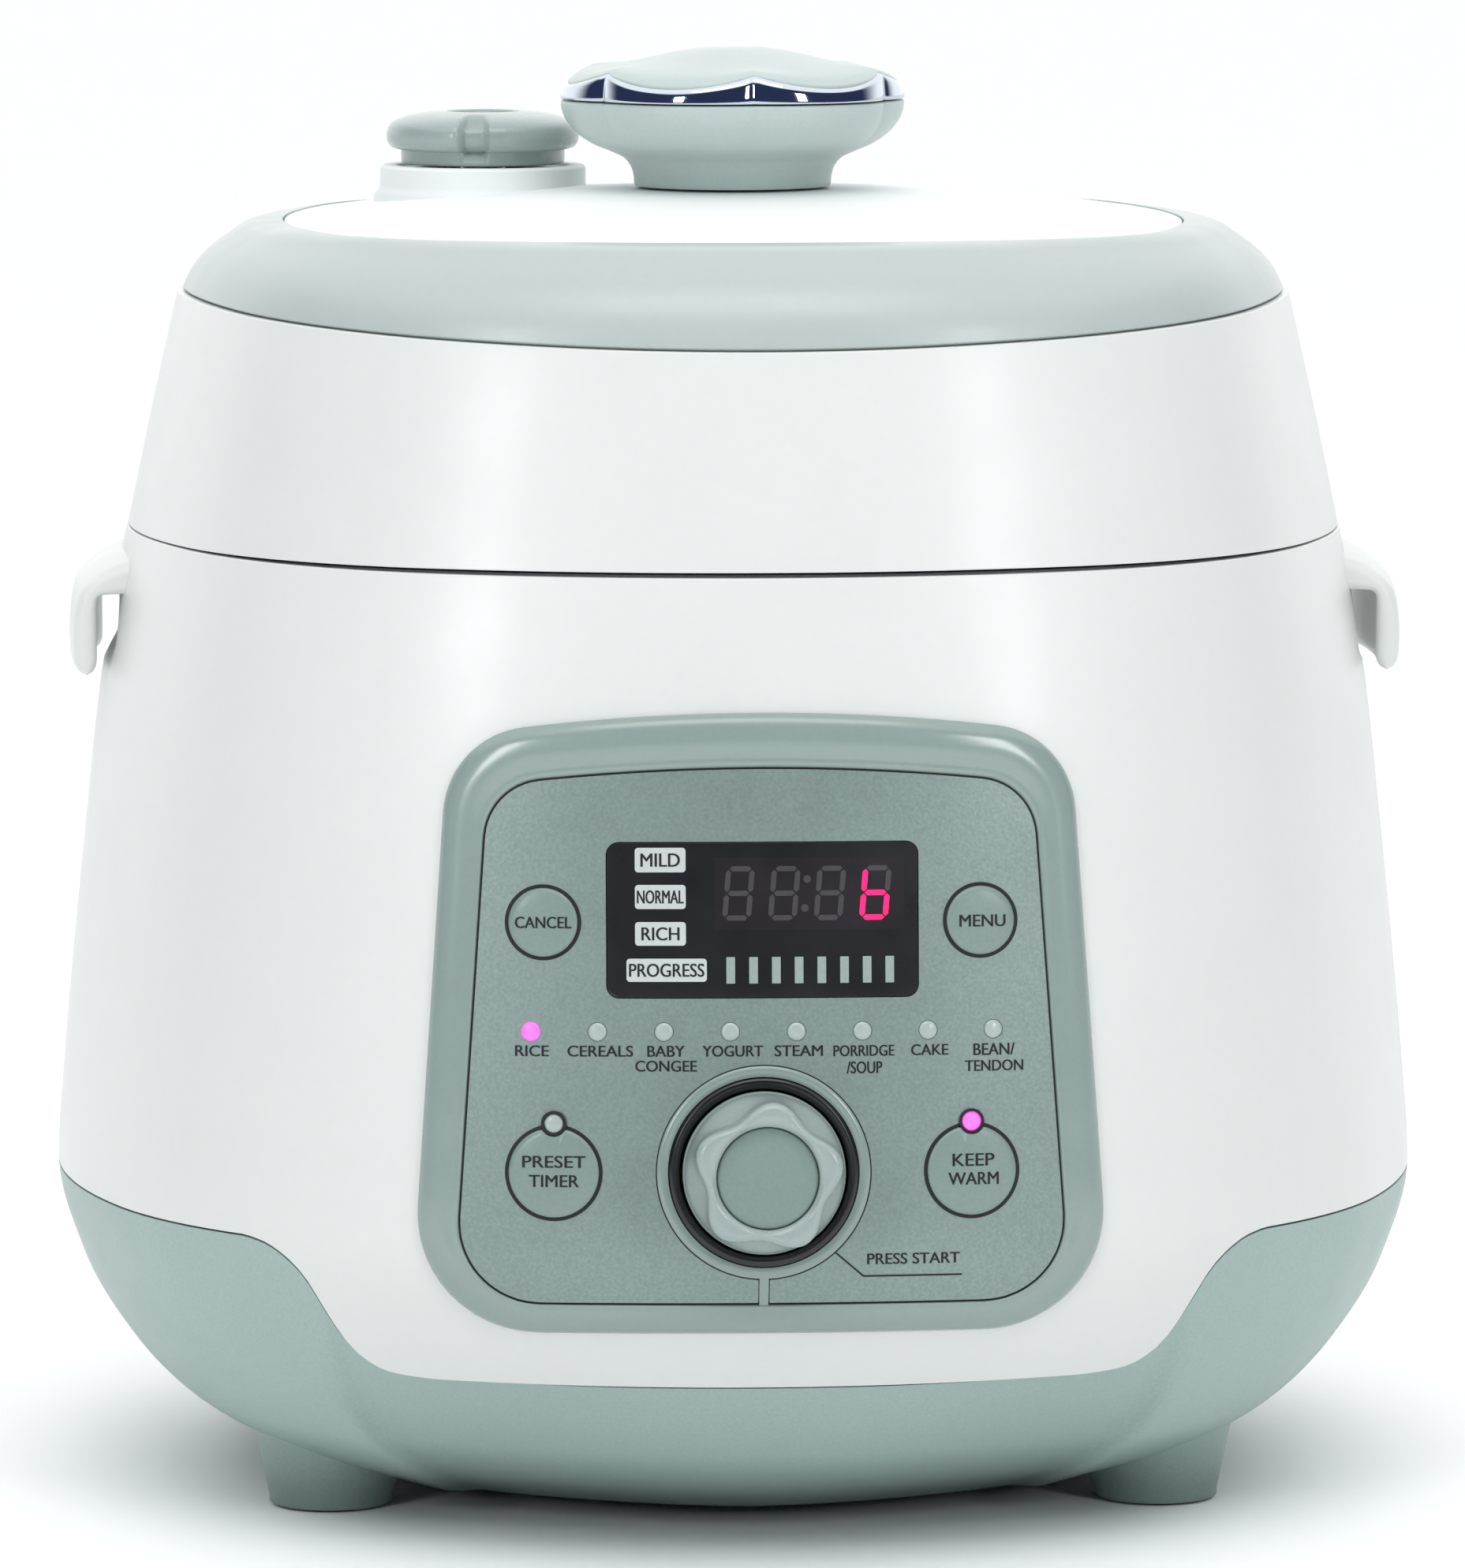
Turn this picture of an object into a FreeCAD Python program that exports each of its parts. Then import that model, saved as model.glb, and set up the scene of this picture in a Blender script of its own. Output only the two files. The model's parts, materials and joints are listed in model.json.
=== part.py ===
import FreeCAD, Part
import math
import os
import Sketcher

# Electric pressure rice cooker with a flip-up lid.
# Millimetres. The origin is on the table under the middle of the cooker, +Z is up and the front faces -Y.
# Half-widths are measured from the middle to a flat side of the rounded-square plan.

SIZES = {
    # Rounded-square plan: arc radii as multiples of the half-width.
    "side_factor": 1.35, "corner_factor": 0.72,
    "cover_side_factor": 1.9, "cover_corner_factor": 0.50,
    # Body profile from the flat bottom to the seam: height and half-width of each section.
    "body_height_a": 5.0, "body_half_a": 90.0,
    "body_height_b": 13.0, "body_half_b": 111.5,
    "body_height_c": 21.0, "body_half_c": 124.4,
    "body_height_d": 33.0, "body_half_d": 135.4,
    "body_height_e": 49.0, "body_half_e": 144.6,
    "body_height_f": 69.0, "body_half_f": 149.9,
    "body_height_g": 93.0, "body_half_g": 148.3,
    "body_height_h": 119.0, "body_half_h": 145.9,
    "body_height_i": 145.0, "body_half_i": 143.2,
    "body_height_j": 169.0, "body_half_j": 140.6,
    "body_height_k": 191.0, "body_half_k": 137.4,
    "body_height_l": 209.1, "body_half_l": 133.8,
    "shell_wall": 2.5,
    # Parting between the two shells: low in the middle of the front, high at the sides.
    "parting_low": 40.0, "parting_high": 64.4, "parting_low_half": 66.0, "parting_high_half": 109.0,
    "parting_low_radius": 28.0, "parting_high_radius": 21.0,
    # Legs, feet and the screws under the base.
    "foot_x": 90.0, "foot_y": 57.0, "pad_radius": 12.0, "pad_thick": 2.0,
    "leg_radius": 13.5, "leg_top": 50.0, "leg_top_radius": 30.0, "leg_top_x": 95.0, "leg_top_y": 70.0,
    "post_circle": 70.0, "post_radius": 6.0, "screw_radius": 2.0, "screw_head_radius": 3.8,
    "screw_head": 1.6, "screw_length": 12.0,
    # Deck around the pot.
    "rim_thick": 4.5, "rim_bore": 121.0,
    # Side handles: a hood with a finger gap behind it.
    "handle_out": 146.6, "handle_slab": 5.1, "handle_half": 35.0, "handle_low": 177.8,
    "handle_high": 206.6, "handle_under": 197.8, "handle_round": 4.0,
    "recess_x": 135.8, "recess_half": 32.0, "recess_low": 176.8,
    "backing_x": 133.0, "backing_half": 36.0, "backing_low": 173.8,
    # Control panel: the middle of the dial on the body's surface, and heights measured up the panel from it.
    "panel_y": -149.0, "panel_z": 86.2, "panel_tilt": 4.9, "panel_reach": 40.0,
    "face_rise": 1.2, "bezel_rise": 2.2,
    "bezel_low": -34.0, "bezel_high": 90.3, "bezel_low_half": 73.5, "bezel_high_half": 65.0,
    "bezel_low_round": 25.0, "bezel_high_round": 19.0, "bezel_crown": 420.0,
    "face_low": -27.7, "face_high": 80.5, "face_low_half": 64.5, "face_high_half": 57.0,
    "face_low_round": 17.0, "face_high_round": 13.0, "face_crown": 450.0,
    "window_low": 36.4, "window_high": 68.5, "window_half": 32.3, "window_round": 2.5,
    "aperture_low": -21.0, "aperture_high": 74.0, "aperture_half": 55.0, "aperture_round": 8.0,
    "board_half": 64.0, "board_low": -18.0, "board_high": 74.0, "board_depth": -20.0, "board_thick": 1.6,
    "peg_x": 60.0, "peg_low": -10.0, "peg_high": 66.0, "peg_radius": 2.5,
    "module_half": 34.0, "module_low": 35.0, "module_high": 70.0, "module_front": -6.0,
    "small_key_x": 45.5, "small_key_v": 52.0, "small_key_radius": 7.2, "small_key_hole": 7.9,
    "large_key_x": 43.5, "large_key_v": 0.0, "large_key_radius": 9.4, "large_key_hole": 10.1,
    "key_back": -13.8, "switch_front": -14.6, "switch_side": 6.0,
    "lamp_radius": 1.9, "lamp_pitch": 13.75, "lamp_v": 29.3, "status_radius": 2.1, "status_v": 10.2,
    "status_notch": 2.7,
    # Dial, measured along the panel normal from the body's surface.
    "dial_lobe": 15.7, "dial_valley": 12.8, "dial_scallop": 16.1, "dial_flange": 16.9,
    "dial_flange_back": 0.6, "dial_flange_front": 3.2, "dial_front": 20.5, "dial_lobe_turn": 84.0,
    "dial_recess": 10.6, "dial_recess_floor": 16.8, "dial_insert_front": 18.6,
    "dial_ring_inner": 17.4, "dial_ring_outer": 19.7, "dial_ring_back": -0.5, "dial_ring_front": 1.8,
    "shaft_radius": 3.0, "shaft_back": -12.7, "shaft_front": 14.0, "running_gap": 0.05,
    "encoder_side": 13.0, "encoder_front": -9.0, "encoder_cavity_radius": 5.6,
    "encoder_cavity_back": -17.6, "encoder_cavity_front": -10.5,
    "push_plate_radius": 5.3, "push_plate_back": -15.0, "push_plate_front": -13.0,
    # Pressure vessel, heater and inner pot.
    "vessel_inner": 112.5, "vessel_outer": 114.0, "vessel_low": 40.0, "vessel_floor": 2.0,
    "flange_low": 201.4, "flange_high": 203.9, "flange_inner": 106.0, "flange_outer": 122.0,
    "slot_half_angle": 12.5,
    "heater_radius": 95.0, "heater_low": 50.0, "heater_high": 62.0, "heater_hole": 16.0,
    "heater_leg_radius": 5.0, "heater_leg_circle": 60.0,
    "pot_outer": 102.0, "pot_wall": 2.0, "pot_high": 191.9, "pot_lip": 108.0, "pot_lip_thick": 2.0,
    "sensor_radius": 15.0, "sensor_low": 50.0, "sensor_high": 61.7,
    "spring_radius": 7.0, "spring_wire": 0.8, "spring_pitch": 1.9,
    "pressure_switch_radius": 9.0, "pressure_switch_high": 12.0, "pressure_switch_x": 30.0,
    "supply_board_half_x": 40.0, "supply_board_half_y": 25.0, "supply_board_low": 16.0,
    "supply_board_thick": 1.6, "supply_foot_radius": 3.0, "supply_foot_x": 35.0, "supply_foot_y": 20.0,
    # Power inlet at the back.
    "inlet_z": 95.0, "inlet_flange_half_x": 17.0, "inlet_flange_half_z": 13.0, "inlet_flange_back": 151.0,
    "inlet_body_half_x": 13.5, "inlet_body_half_z": 9.5, "inlet_front": 126.0,
    "inlet_cavity_half_x": 12.0, "inlet_cavity_half_z": 8.0, "inlet_cavity_front": 132.0,
    "pin_x": 2.0, "pin_z": 4.0, "pin_length": 14.0,
    # Lid shells.
    "lid_low": 209.6, "lid_low_half": 133.5, "skirt_high": 260.8, "skirt_high_half": 122.3,
    "trim_half_a": 121.3, "trim_height_b": 265.2, "trim_half_b": 119.6, "trim_height_c": 268.9,
    "trim_half_c": 116.3, "trim_height_d": 274.0, "trim_half_d": 109.5, "trim_height_e": 276.6,
    "trim_half_e": 103.2,
    "cover_half": 98.8, "dome_high": 283.0, "dome_radius": 629.0, "cover_low": 262.0,
    "liner_low": 210.4, "liner_thick": 3.0,
    "inner_lid_radius": 100.0, "inner_lid_low": 195.4, "inner_lid_thick": 4.0,
    "seal_inner": 97.0, "seal_outer": 106.0, "seal_low": 192.2,
    "lid_post_circle": 60.0, "lid_post_radius": 4.0,
    # Steam valve and float pin.
    "valve_x": -54.4, "valve_y": 35.0, "boss_radius": 23.0, "boss_low": 276.0, "boss_high": 286.3,
    "vent_radius": 5.0, "vent_bore": 2.0, "vent_high": 291.0,
    "valve_neck": 18.5, "valve_low": 286.6, "valve_neck_high": 289.2, "valve_wide": 21.4,
    "valve_wide_high": 291.4, "valve_shoulder_high": 296.2, "valve_high": 298.3, "valve_top_radius": 17.5,
    "valve_well": 7.6, "valve_well_low": 293.5,
    "float_y": -60.0, "float_radius": 3.0, "float_low": 192.9, "float_high": 204.4, "float_collar": 5.0,
    "float_collar_low": 199.7, "float_collar_thick": 1.2,
    # Lid lock: the knob on top turns a ring of lugs under the vessel's flange.
    "neck_radius": 21.8, "knob_low": 283.4, "knob_step_high": 289.0, "knob_step_radius": 24.3,
    "knob_under_high": 294.3, "knob_under_radius": 33.5, "knob_wide": 37.9, "knob_wide_low": 299.6,
    "grip_high": 301.5, "chrome_high": 305.5, "cap_round_high": 309.2, "cap_round_radius": 33.0,
    "cap_high": 313.7, "cap_top_radius": 9.0, "knob_valley": 35.5, "knob_scallop": 120.0, "knob_turn": 5.5,
    "lock_shaft_radius": 6.0, "lock_shaft_high": 291.0,
    "lock_low": 206.4, "lock_high": 208.9, "lock_ring_inner": 101.0, "lock_ring_outer": 106.0,
    "lock_hub": 12.0, "spoke_width": 14.0, "lug_low": 196.4, "lug_high": 200.4, "lug_outer": 111.5,
    "lug_leg_inner": 101.5, "lug_leg_outer": 105.5, "lug_half_angle": 9.0,
    # Lid hinge at the back.
    "hinge_y": 161.6, "hinge_z": 212.4, "barrel_radius": 9.0, "hinge_pin_radius": 2.5,
    "arm_half": 30.0, "arm_low": 210.2, "arm_high": 239.4, "arm_start": 120.0,
    "arm_shoulder_y": 148.0, "arm_shoulder_z": 224.4,
    "knuckle_start": 31.0, "knuckle_end": 45.0, "bracket_half": 48.0, "bracket_low": 173.4,
    "bracket_high": 202.4, "bracket_back": 163.0, "bracket_slope_high": 191.4, "bracket_slope_back": 146.0,
    "web_drop": 4.0,
    # Well past every face, for cutting right through.
    "beyond": 200.0, "under": -10.0, "over": 320.0,
}

PART_NAMES = []
LUG_COUNT = 6
SPOKE_ANGLES = (90.0, 210.0, 330.0)
LID_POST_ANGLES = (20.0, 120.0, 250.0)
BASE_POST_ANGLES = (90.0, 210.0, 330.0)
CORNER_SIGNS = ((1, 1), (-1, 1), (-1, -1), (1, -1))
LAMP_STEPS = (-3.5, -2.5, -1.5, -0.5, 0.5, 1.5, 2.5, 3.5)
BODY_SECTIONS = "abcdefghijkl"
# Each key's name, its side of the panel, its sizes and whether its cap is notched round a status lamp.
KEYS = (("cancel_button", -1, "small_key", False), ("menu_button", 1, "small_key", False),
        ("timer_button", -1, "large_key", True), ("warm_button", 1, "large_key", True))

doc = FreeCAD.newDocument("RiceCooker")
sheet = doc.addObject("Spreadsheet::Sheet", "Sizes")
for row, (alias, size) in enumerate(SIZES.items(), start=1):
    sheet.set("A%d" % row, alias)
    sheet.set("B%d" % row, str(size))
    sheet.setAlias("B%d" % row, alias)
doc.recompute()


# ---------------------------------------------------------------- helpers

def words_of(text):
    """The names, numbers and signs of a sum such as 'rim_bore - shell_wall'."""
    return text.replace("+", " + ").replace("-", " - ").split()


def value(text):
    """The size that such a sum comes to."""
    total = 0.0
    sign = 1.0
    for word in words_of(text):
        if word in "+-":
            sign = -sign if word == "-" else sign
            continue
        total += sign * (SIZES[word] if word in SIZES else float(word))
        sign = 1.0
    return total


def formula(text):
    """The same sum written for the sheet."""
    return " ".join("Sizes." + word if word in SIZES else word for word in words_of(text))


def span(low, high):
    """The sum high - low, with every sign of the low end turned round."""
    flipped = "".join({"+": " - ", "-": " + "}.get(word, word) for word in words_of(low))
    joined = flipped if low.startswith("-") else " - " + flipped
    return high + joined


def bind(thing, prop, text):
    thing.setExpression(prop, formula(text))


def place(thing, x="0", y="0", z="0"):
    for axis, text in zip("xyz", (x, y, z)):
        bind(thing, "Placement.Base." + axis, text)
    return thing


def cylinder(name, radius, low, high, x="0", y="0"):
    thing = doc.addObject("Part::Cylinder", name)
    bind(thing, "Radius", radius)
    bind(thing, "Height", span(low, high))
    return place(thing, x, y, low)


def wedge(name, radius, low, high, middle_angle, half_angle):
    """A slice of a cylinder about +Z, centred on an angle."""
    thing = cylinder(name, radius, low, high)
    thing.setExpression("Angle", "2 * Sizes." + half_angle)
    start = middle_angle - SIZES[half_angle]
    thing.Placement.Rotation = FreeCAD.Rotation(FreeCAD.Vector(0, 0, 1), start)
    return thing


def box(name, x, y, z):
    """A block given by its low and high ends on each axis."""
    thing = doc.addObject("Part::Box", name)
    for prop, (low, high) in zip(("Length", "Width", "Height"), (x, y, z)):
        bind(thing, prop, span(low, high))
    return place(thing, x[0], y[0], z[0])


def fuse(name, shapes):
    thing = doc.addObject("Part::MultiFuse", name)
    thing.Shapes = list(shapes)
    return thing


def common(name, shapes):
    thing = doc.addObject("Part::MultiCommon", name)
    thing.Shapes = list(shapes)
    return thing


def cut(name, base, tools):
    thing = doc.addObject("Part::Cut", name)
    thing.Base = base
    thing.Tool = tools[0] if len(tools) == 1 else fuse(name + "_tools", tools)
    return thing


def part(thing, node):
    """Names a finished sub-part."""
    thing.Label = node
    PART_NAMES.append(thing.Name)
    return thing


def new_body(name):
    return doc.addObject("PartDesign::Body", name)


def plane(body, role):
    return next(item for item in body.Origin.OriginFeatures if item.Role == role)


def new_sketch(body, name, role="XY_Plane"):
    sketch = body.newObject("Sketcher::SketchObject", name)
    sketch.AttachmentSupport = [(plane(body, role), "")]
    sketch.MapMode = "FlatFace"
    return sketch


def pin_point(sketch, item, end, x, y):
    """Holds one end of a sketch line at a place given by two sums."""
    for kind, axis_line, text in (("DistanceX", -2, x), ("DistanceY", -1, y)):
        if value(text) == 0:
            sketch.addConstraint(Sketcher.Constraint("PointOnObject", item, end, axis_line))
            continue
        index = sketch.addConstraint(Sketcher.Constraint(kind, -1, 1, item, end, value(text)))
        bind(sketch, "Constraints[%d]" % index, text)


def outline(body, name, corners, role="XY_Plane"):
    """A closed chain of straight lines through corners given as pairs of sums."""
    sketch = new_sketch(body, name, role)
    spots = [FreeCAD.Vector(value(x), value(y), 0) for x, y in corners]
    for index, spot in enumerate(spots):
        sketch.addGeometry(Part.LineSegment(spot, spots[(index + 1) % len(spots)]), False)
    for index, (x, y) in enumerate(corners):
        follower = (index - 1) % len(corners)
        sketch.addConstraint(Sketcher.Constraint("Coincident", follower, 2, index, 1))
        pin_point(sketch, index, 1, x, y)
    return sketch


def turned(name, profile):
    """A body of revolution about +Z from (radius, height) sums."""
    body = new_body(name)
    sketch = outline(body, name + "_profile", profile, "XZ_Plane")
    spin = body.newObject("PartDesign::Revolution", name + "_turn")
    spin.Profile = sketch
    spin.ReferenceAxis = (sketch, ["V_Axis"])
    spin.Angle = 360.0
    return body


def scallop(body, radius_name, valley_name, count, turn, reach):
    """Cuts equal scallops into the rim of a body, the first one turned from +X by an angle."""
    doc.recompute()
    before = body.Shape.Volume
    sketch = new_sketch(body, body.Name + "_scallop")
    middle = SIZES[valley_name] + SIZES[radius_name]
    away = FreeCAD.Vector(middle * math.cos(math.radians(turn)), middle * math.sin(math.radians(turn)), 0)
    sketch.addGeometry(Part.Circle(away, FreeCAD.Vector(0, 0, 1), SIZES[radius_name]), False)
    index = sketch.addConstraint(Sketcher.Constraint("Radius", 0, SIZES[radius_name]))
    bind(sketch, "Constraints[%d]" % index, radius_name)
    for kind, size, trig in (("DistanceX", away.x, "cos"), ("DistanceY", away.y, "sin")):
        index = sketch.addConstraint(Sketcher.Constraint(kind, -1, 1, 0, 3, size))
        reach_text = "(Sizes.%s + Sizes.%s) * %s(%s deg)" % (valley_name, radius_name, trig, turn)
        sketch.setExpression("Constraints[%d]" % index, reach_text)
    pocket = body.newObject("PartDesign::Pocket", body.Name + "_pocket")
    pocket.Profile = sketch
    pocket.Midplane = True
    pocket.Length = 2 * reach
    pattern = body.newObject("PartDesign::PolarPattern", body.Name + "_pattern")
    pattern.Originals = [pocket]
    pattern.Axis = (plane(body, "Z_Axis"), [""])
    pattern.Angle = 360.0
    pattern.Occurrences = count
    body.Tip = pattern
    doc.recompute()
    if body.Shape.Volume > before - 1.0:
        raise RuntimeError(body.Name + ": the scallops cut nothing")
    return body


def rounded_square(body, name, half, height, side="side_factor", corner="corner_factor"):
    """Eight tangent arcs: a long arc on each side and a short one at each corner."""
    sketch = new_sketch(body, name)
    reach = value(half)
    side_radius = SIZES[side] * reach
    corner_radius = SIZES[corner] * reach
    back = side_radius - reach
    room = (side_radius - corner_radius) ** 2
    corner_mid = (-2 * back + math.sqrt(4 * back * back - 8 * (back * back - room))) / 4
    sweep = math.atan2(corner_mid, corner_mid + back)
    up = FreeCAD.Vector(0, 0, 1)
    arcs = []
    for quarter in range(4):
        turn = quarter * math.pi / 2
        middle = FreeCAD.Vector(-back * math.cos(turn), -back * math.sin(turn), 0)
        circle = Part.Circle(middle, up, side_radius)
        arcs.append(sketch.addGeometry(Part.ArcOfCircle(circle, turn - sweep, turn + sweep), False))
        diagonal = turn + math.pi / 4
        away = corner_mid * math.sqrt(2)
        middle = FreeCAD.Vector(away * math.cos(diagonal), away * math.sin(diagonal), 0)
        circle = Part.Circle(middle, up, corner_radius)
        ends = (turn + sweep, turn + math.pi / 2 - sweep)
        arcs.append(sketch.addGeometry(Part.ArcOfCircle(circle, ends[0], ends[1]), False))
    for index in range(8):
        sketch.addConstraint(Sketcher.Constraint("Tangent", arcs[index], 2, arcs[(index + 1) % 8], 1))
    for quarter in range(4):
        arc = arcs[2 * quarter]
        axis_line = -1 if quarter % 2 == 0 else -2
        sketch.addConstraint(Sketcher.Constraint("PointOnObject", arc, 3, axis_line))
        index = sketch.addConstraint(Sketcher.Constraint("Radius", arc, side_radius))
        sketch.setExpression("Constraints[%d]" % index, "Sizes.%s * (%s)" % (side, formula(half)))
        kind = "DistanceX" if quarter % 2 == 0 else "DistanceY"
        ends = (arc, 3, -1, 1) if quarter < 2 else (-1, 1, arc, 3)
        index = sketch.addConstraint(Sketcher.Constraint(kind, *ends, back))
        sketch.setExpression("Constraints[%d]" % index, "(Sizes.%s - 1) * (%s)" % (side, formula(half)))
        index = sketch.addConstraint(Sketcher.Constraint("Radius", arcs[2 * quarter + 1], corner_radius))
        sketch.setExpression("Constraints[%d]" % index, "Sizes.%s * (%s)" % (corner, formula(half)))
    bind(sketch, "AttachmentOffset.Base.z", height)
    return sketch


def lofted(name, sections):
    """A solid through rounded squares given as (half-width, height) sums."""
    body = new_body(name)
    sketches = []
    for index, (half, height) in enumerate(sections):
        sketches.append(rounded_square(body, "%s_section_%d" % (name, index), half, height))
    loft = body.newObject("PartDesign::AdditiveLoft", name + "_loft")
    loft.Profile = sketches[0]
    loft.Sections = sketches[1:]
    return body


def body_loft(name, grow="", lift=""):
    """The cooker's outer form, with every section grown sideways and lifted by a sum."""
    sections = [("body_half_" + key + grow, "body_height_" + key + lift) for key in BODY_SECTIONS]
    return lofted(name, sections)


def panel_placement():
    tilt = FreeCAD.Rotation(FreeCAD.Vector(1, 0, 0), 90.0 - SIZES["panel_tilt"])
    return FreeCAD.Placement(FreeCAD.Vector(0, SIZES["panel_y"], SIZES["panel_z"]), tilt)


def on_panel(thing):
    """Moves something drawn flat about the origin on to the panel, +Z becoming the panel's normal."""
    thing.Placement = panel_placement()
    return thing


def panel_peg(name, radius, x, v, back, front):
    """A round peg along the panel normal."""
    thing = doc.addObject("Part::Cylinder", name)
    bind(thing, "Radius", radius)
    bind(thing, "Height", span(back, front))
    start = FreeCAD.Vector(x, v, value(back))
    local = FreeCAD.Placement(start, FreeCAD.Rotation())
    thing.Placement = panel_placement().multiply(local)
    return thing


def panel_block(name, half_x, low, high, back, front, x=0.0):
    """A square-edged block on the panel, half_x wide each side of x."""
    thing = doc.addObject("Part::Box", name)
    thing.setExpression("Length", "2 * (%s)" % formula(half_x))
    bind(thing, "Width", span(low, high))
    bind(thing, "Height", span(back, front))
    start = FreeCAD.Vector(x - value(half_x), value(low), value(back))
    thing.Placement = panel_placement().multiply(FreeCAD.Placement(start, FreeCAD.Rotation()))
    return thing


def upright_edges(shape, keep):
    """Names of the straight edges along the pad whose middles pass a test."""
    names = []
    for index, edge in enumerate(shape.Edges, start=1):
        if len(edge.Vertexes) < 2 or edge.Curve.TypeId != "Part::GeomLine":
            continue
        if abs(edge.Curve.Direction.z) > 0.99 and keep(edge.CenterOfMass):
            names.append("Edge%d" % index)
    return names


def panel_prism(name, prefix, crown=None):
    """A rounded trapezoid, or a rounded rectangle, right through the panel."""
    body = new_body(name)
    has_taper = prefix + "_low_half" in SIZES
    low_half = prefix + ("_low_half" if has_taper else "_half")
    high_half = prefix + ("_high_half" if has_taper else "_half")
    low = prefix + "_low"
    high = prefix + "_high"
    corners = [("-" + low_half, low), (low_half, low), (high_half, high), ("-" + high_half, high)]
    sketch = outline(body, name + "_outline", corners)
    if crown:
        radius = SIZES[crown]
        half = SIZES[high_half]
        drop = math.sqrt(radius * radius - half * half)
        middle = FreeCAD.Vector(0, SIZES[high] - drop, 0)
        lean = math.asin(half / radius)
        circle = Part.Circle(middle, FreeCAD.Vector(0, 0, 1), radius)
        arc = Part.ArcOfCircle(circle, math.pi / 2 - lean, math.pi / 2 + lean)
        sketch.toggleConstruction(2)
        index = sketch.addGeometry(arc, False)
        sketch.addConstraint(Sketcher.Constraint("Coincident", index, 1, 2, 1))
        sketch.addConstraint(Sketcher.Constraint("Coincident", index, 2, 3, 1))
        size = sketch.addConstraint(Sketcher.Constraint("Radius", index, radius))
        bind(sketch, "Constraints[%d]" % size, crown)
    pad = body.newObject("PartDesign::Pad", name + "_pad")
    pad.Profile = sketch
    pad.Midplane = True
    bind(pad, "Length", "panel_reach + panel_reach")
    doc.recompute()
    split = (SIZES[low] + SIZES[high]) / 2
    rounds = [(prefix + ("_low_round" if has_taper else "_round"), lambda spot: spot.y < split),
              (prefix + ("_high_round" if has_taper else "_round"), lambda spot: spot.y > split)]
    for index, (radius, keep) in enumerate(rounds):
        latest = body.Tip
        fillet = body.newObject("PartDesign::Fillet", "%s_fillet_%d" % (name, index))
        fillet.Base = (latest, upright_edges(latest.Shape, keep))
        bind(fillet, "Radius", radius)
        doc.recompute()
    return on_panel(body)


def round_places(angles, circle):
    """Places on a circle about the middle, as sums' values."""
    spots = []
    for angle in angles:
        turn = math.radians(angle)
        spots.append((SIZES[circle] * math.cos(turn), SIZES[circle] * math.sin(turn)))
    return spots


def number(size):
    """A size as text, for a place worked out in code."""
    return "%.4f" % size


# ---------------------------------------------------------------- body shells

form_outer = body_loft("form_outer")
form_inner = body_loft("form_inner", " - shell_wall", " + shell_wall")
form_face = body_loft("form_face", " + face_rise")
form_bezel = body_loft("form_bezel", " + bezel_rise")


def leg(name, sign_x, sign_y):
    """A leg that widens and leans outwards from the foot into the bowl."""
    body = new_body(name)
    sections = []
    levels = (("foot", "leg_radius", "foot_x", "foot_y", "pad_thick"),
              ("top", "leg_top_radius", "leg_top_x", "leg_top_y", "leg_top"))
    for key, radius, along, across, height in levels:
        sketch = new_sketch(body, name + "_" + key)
        middle = FreeCAD.Vector(sign_x * SIZES[along], sign_y * SIZES[across], 0)
        sketch.addGeometry(Part.Circle(middle, FreeCAD.Vector(0, 0, 1), SIZES[radius]), False)
        index = sketch.addConstraint(Sketcher.Constraint("Radius", 0, SIZES[radius]))
        bind(sketch, "Constraints[%d]" % index, radius)
        for kind, sign, size in (("DistanceX", sign_x, along), ("DistanceY", sign_y, across)):
            index = sketch.addConstraint(Sketcher.Constraint(kind, -1, 1, 0, 3, sign * SIZES[size]))
            sketch.setExpression("Constraints[%d]" % index, "%d * Sizes.%s" % (sign, size))
        bind(sketch, "AttachmentOffset.Base.z", height)
        sections.append(sketch)
    loft = body.newObject("PartDesign::AdditiveLoft", name + "_loft")
    loft.Profile = sections[0]
    loft.Sections = sections[1:]
    return body


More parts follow.
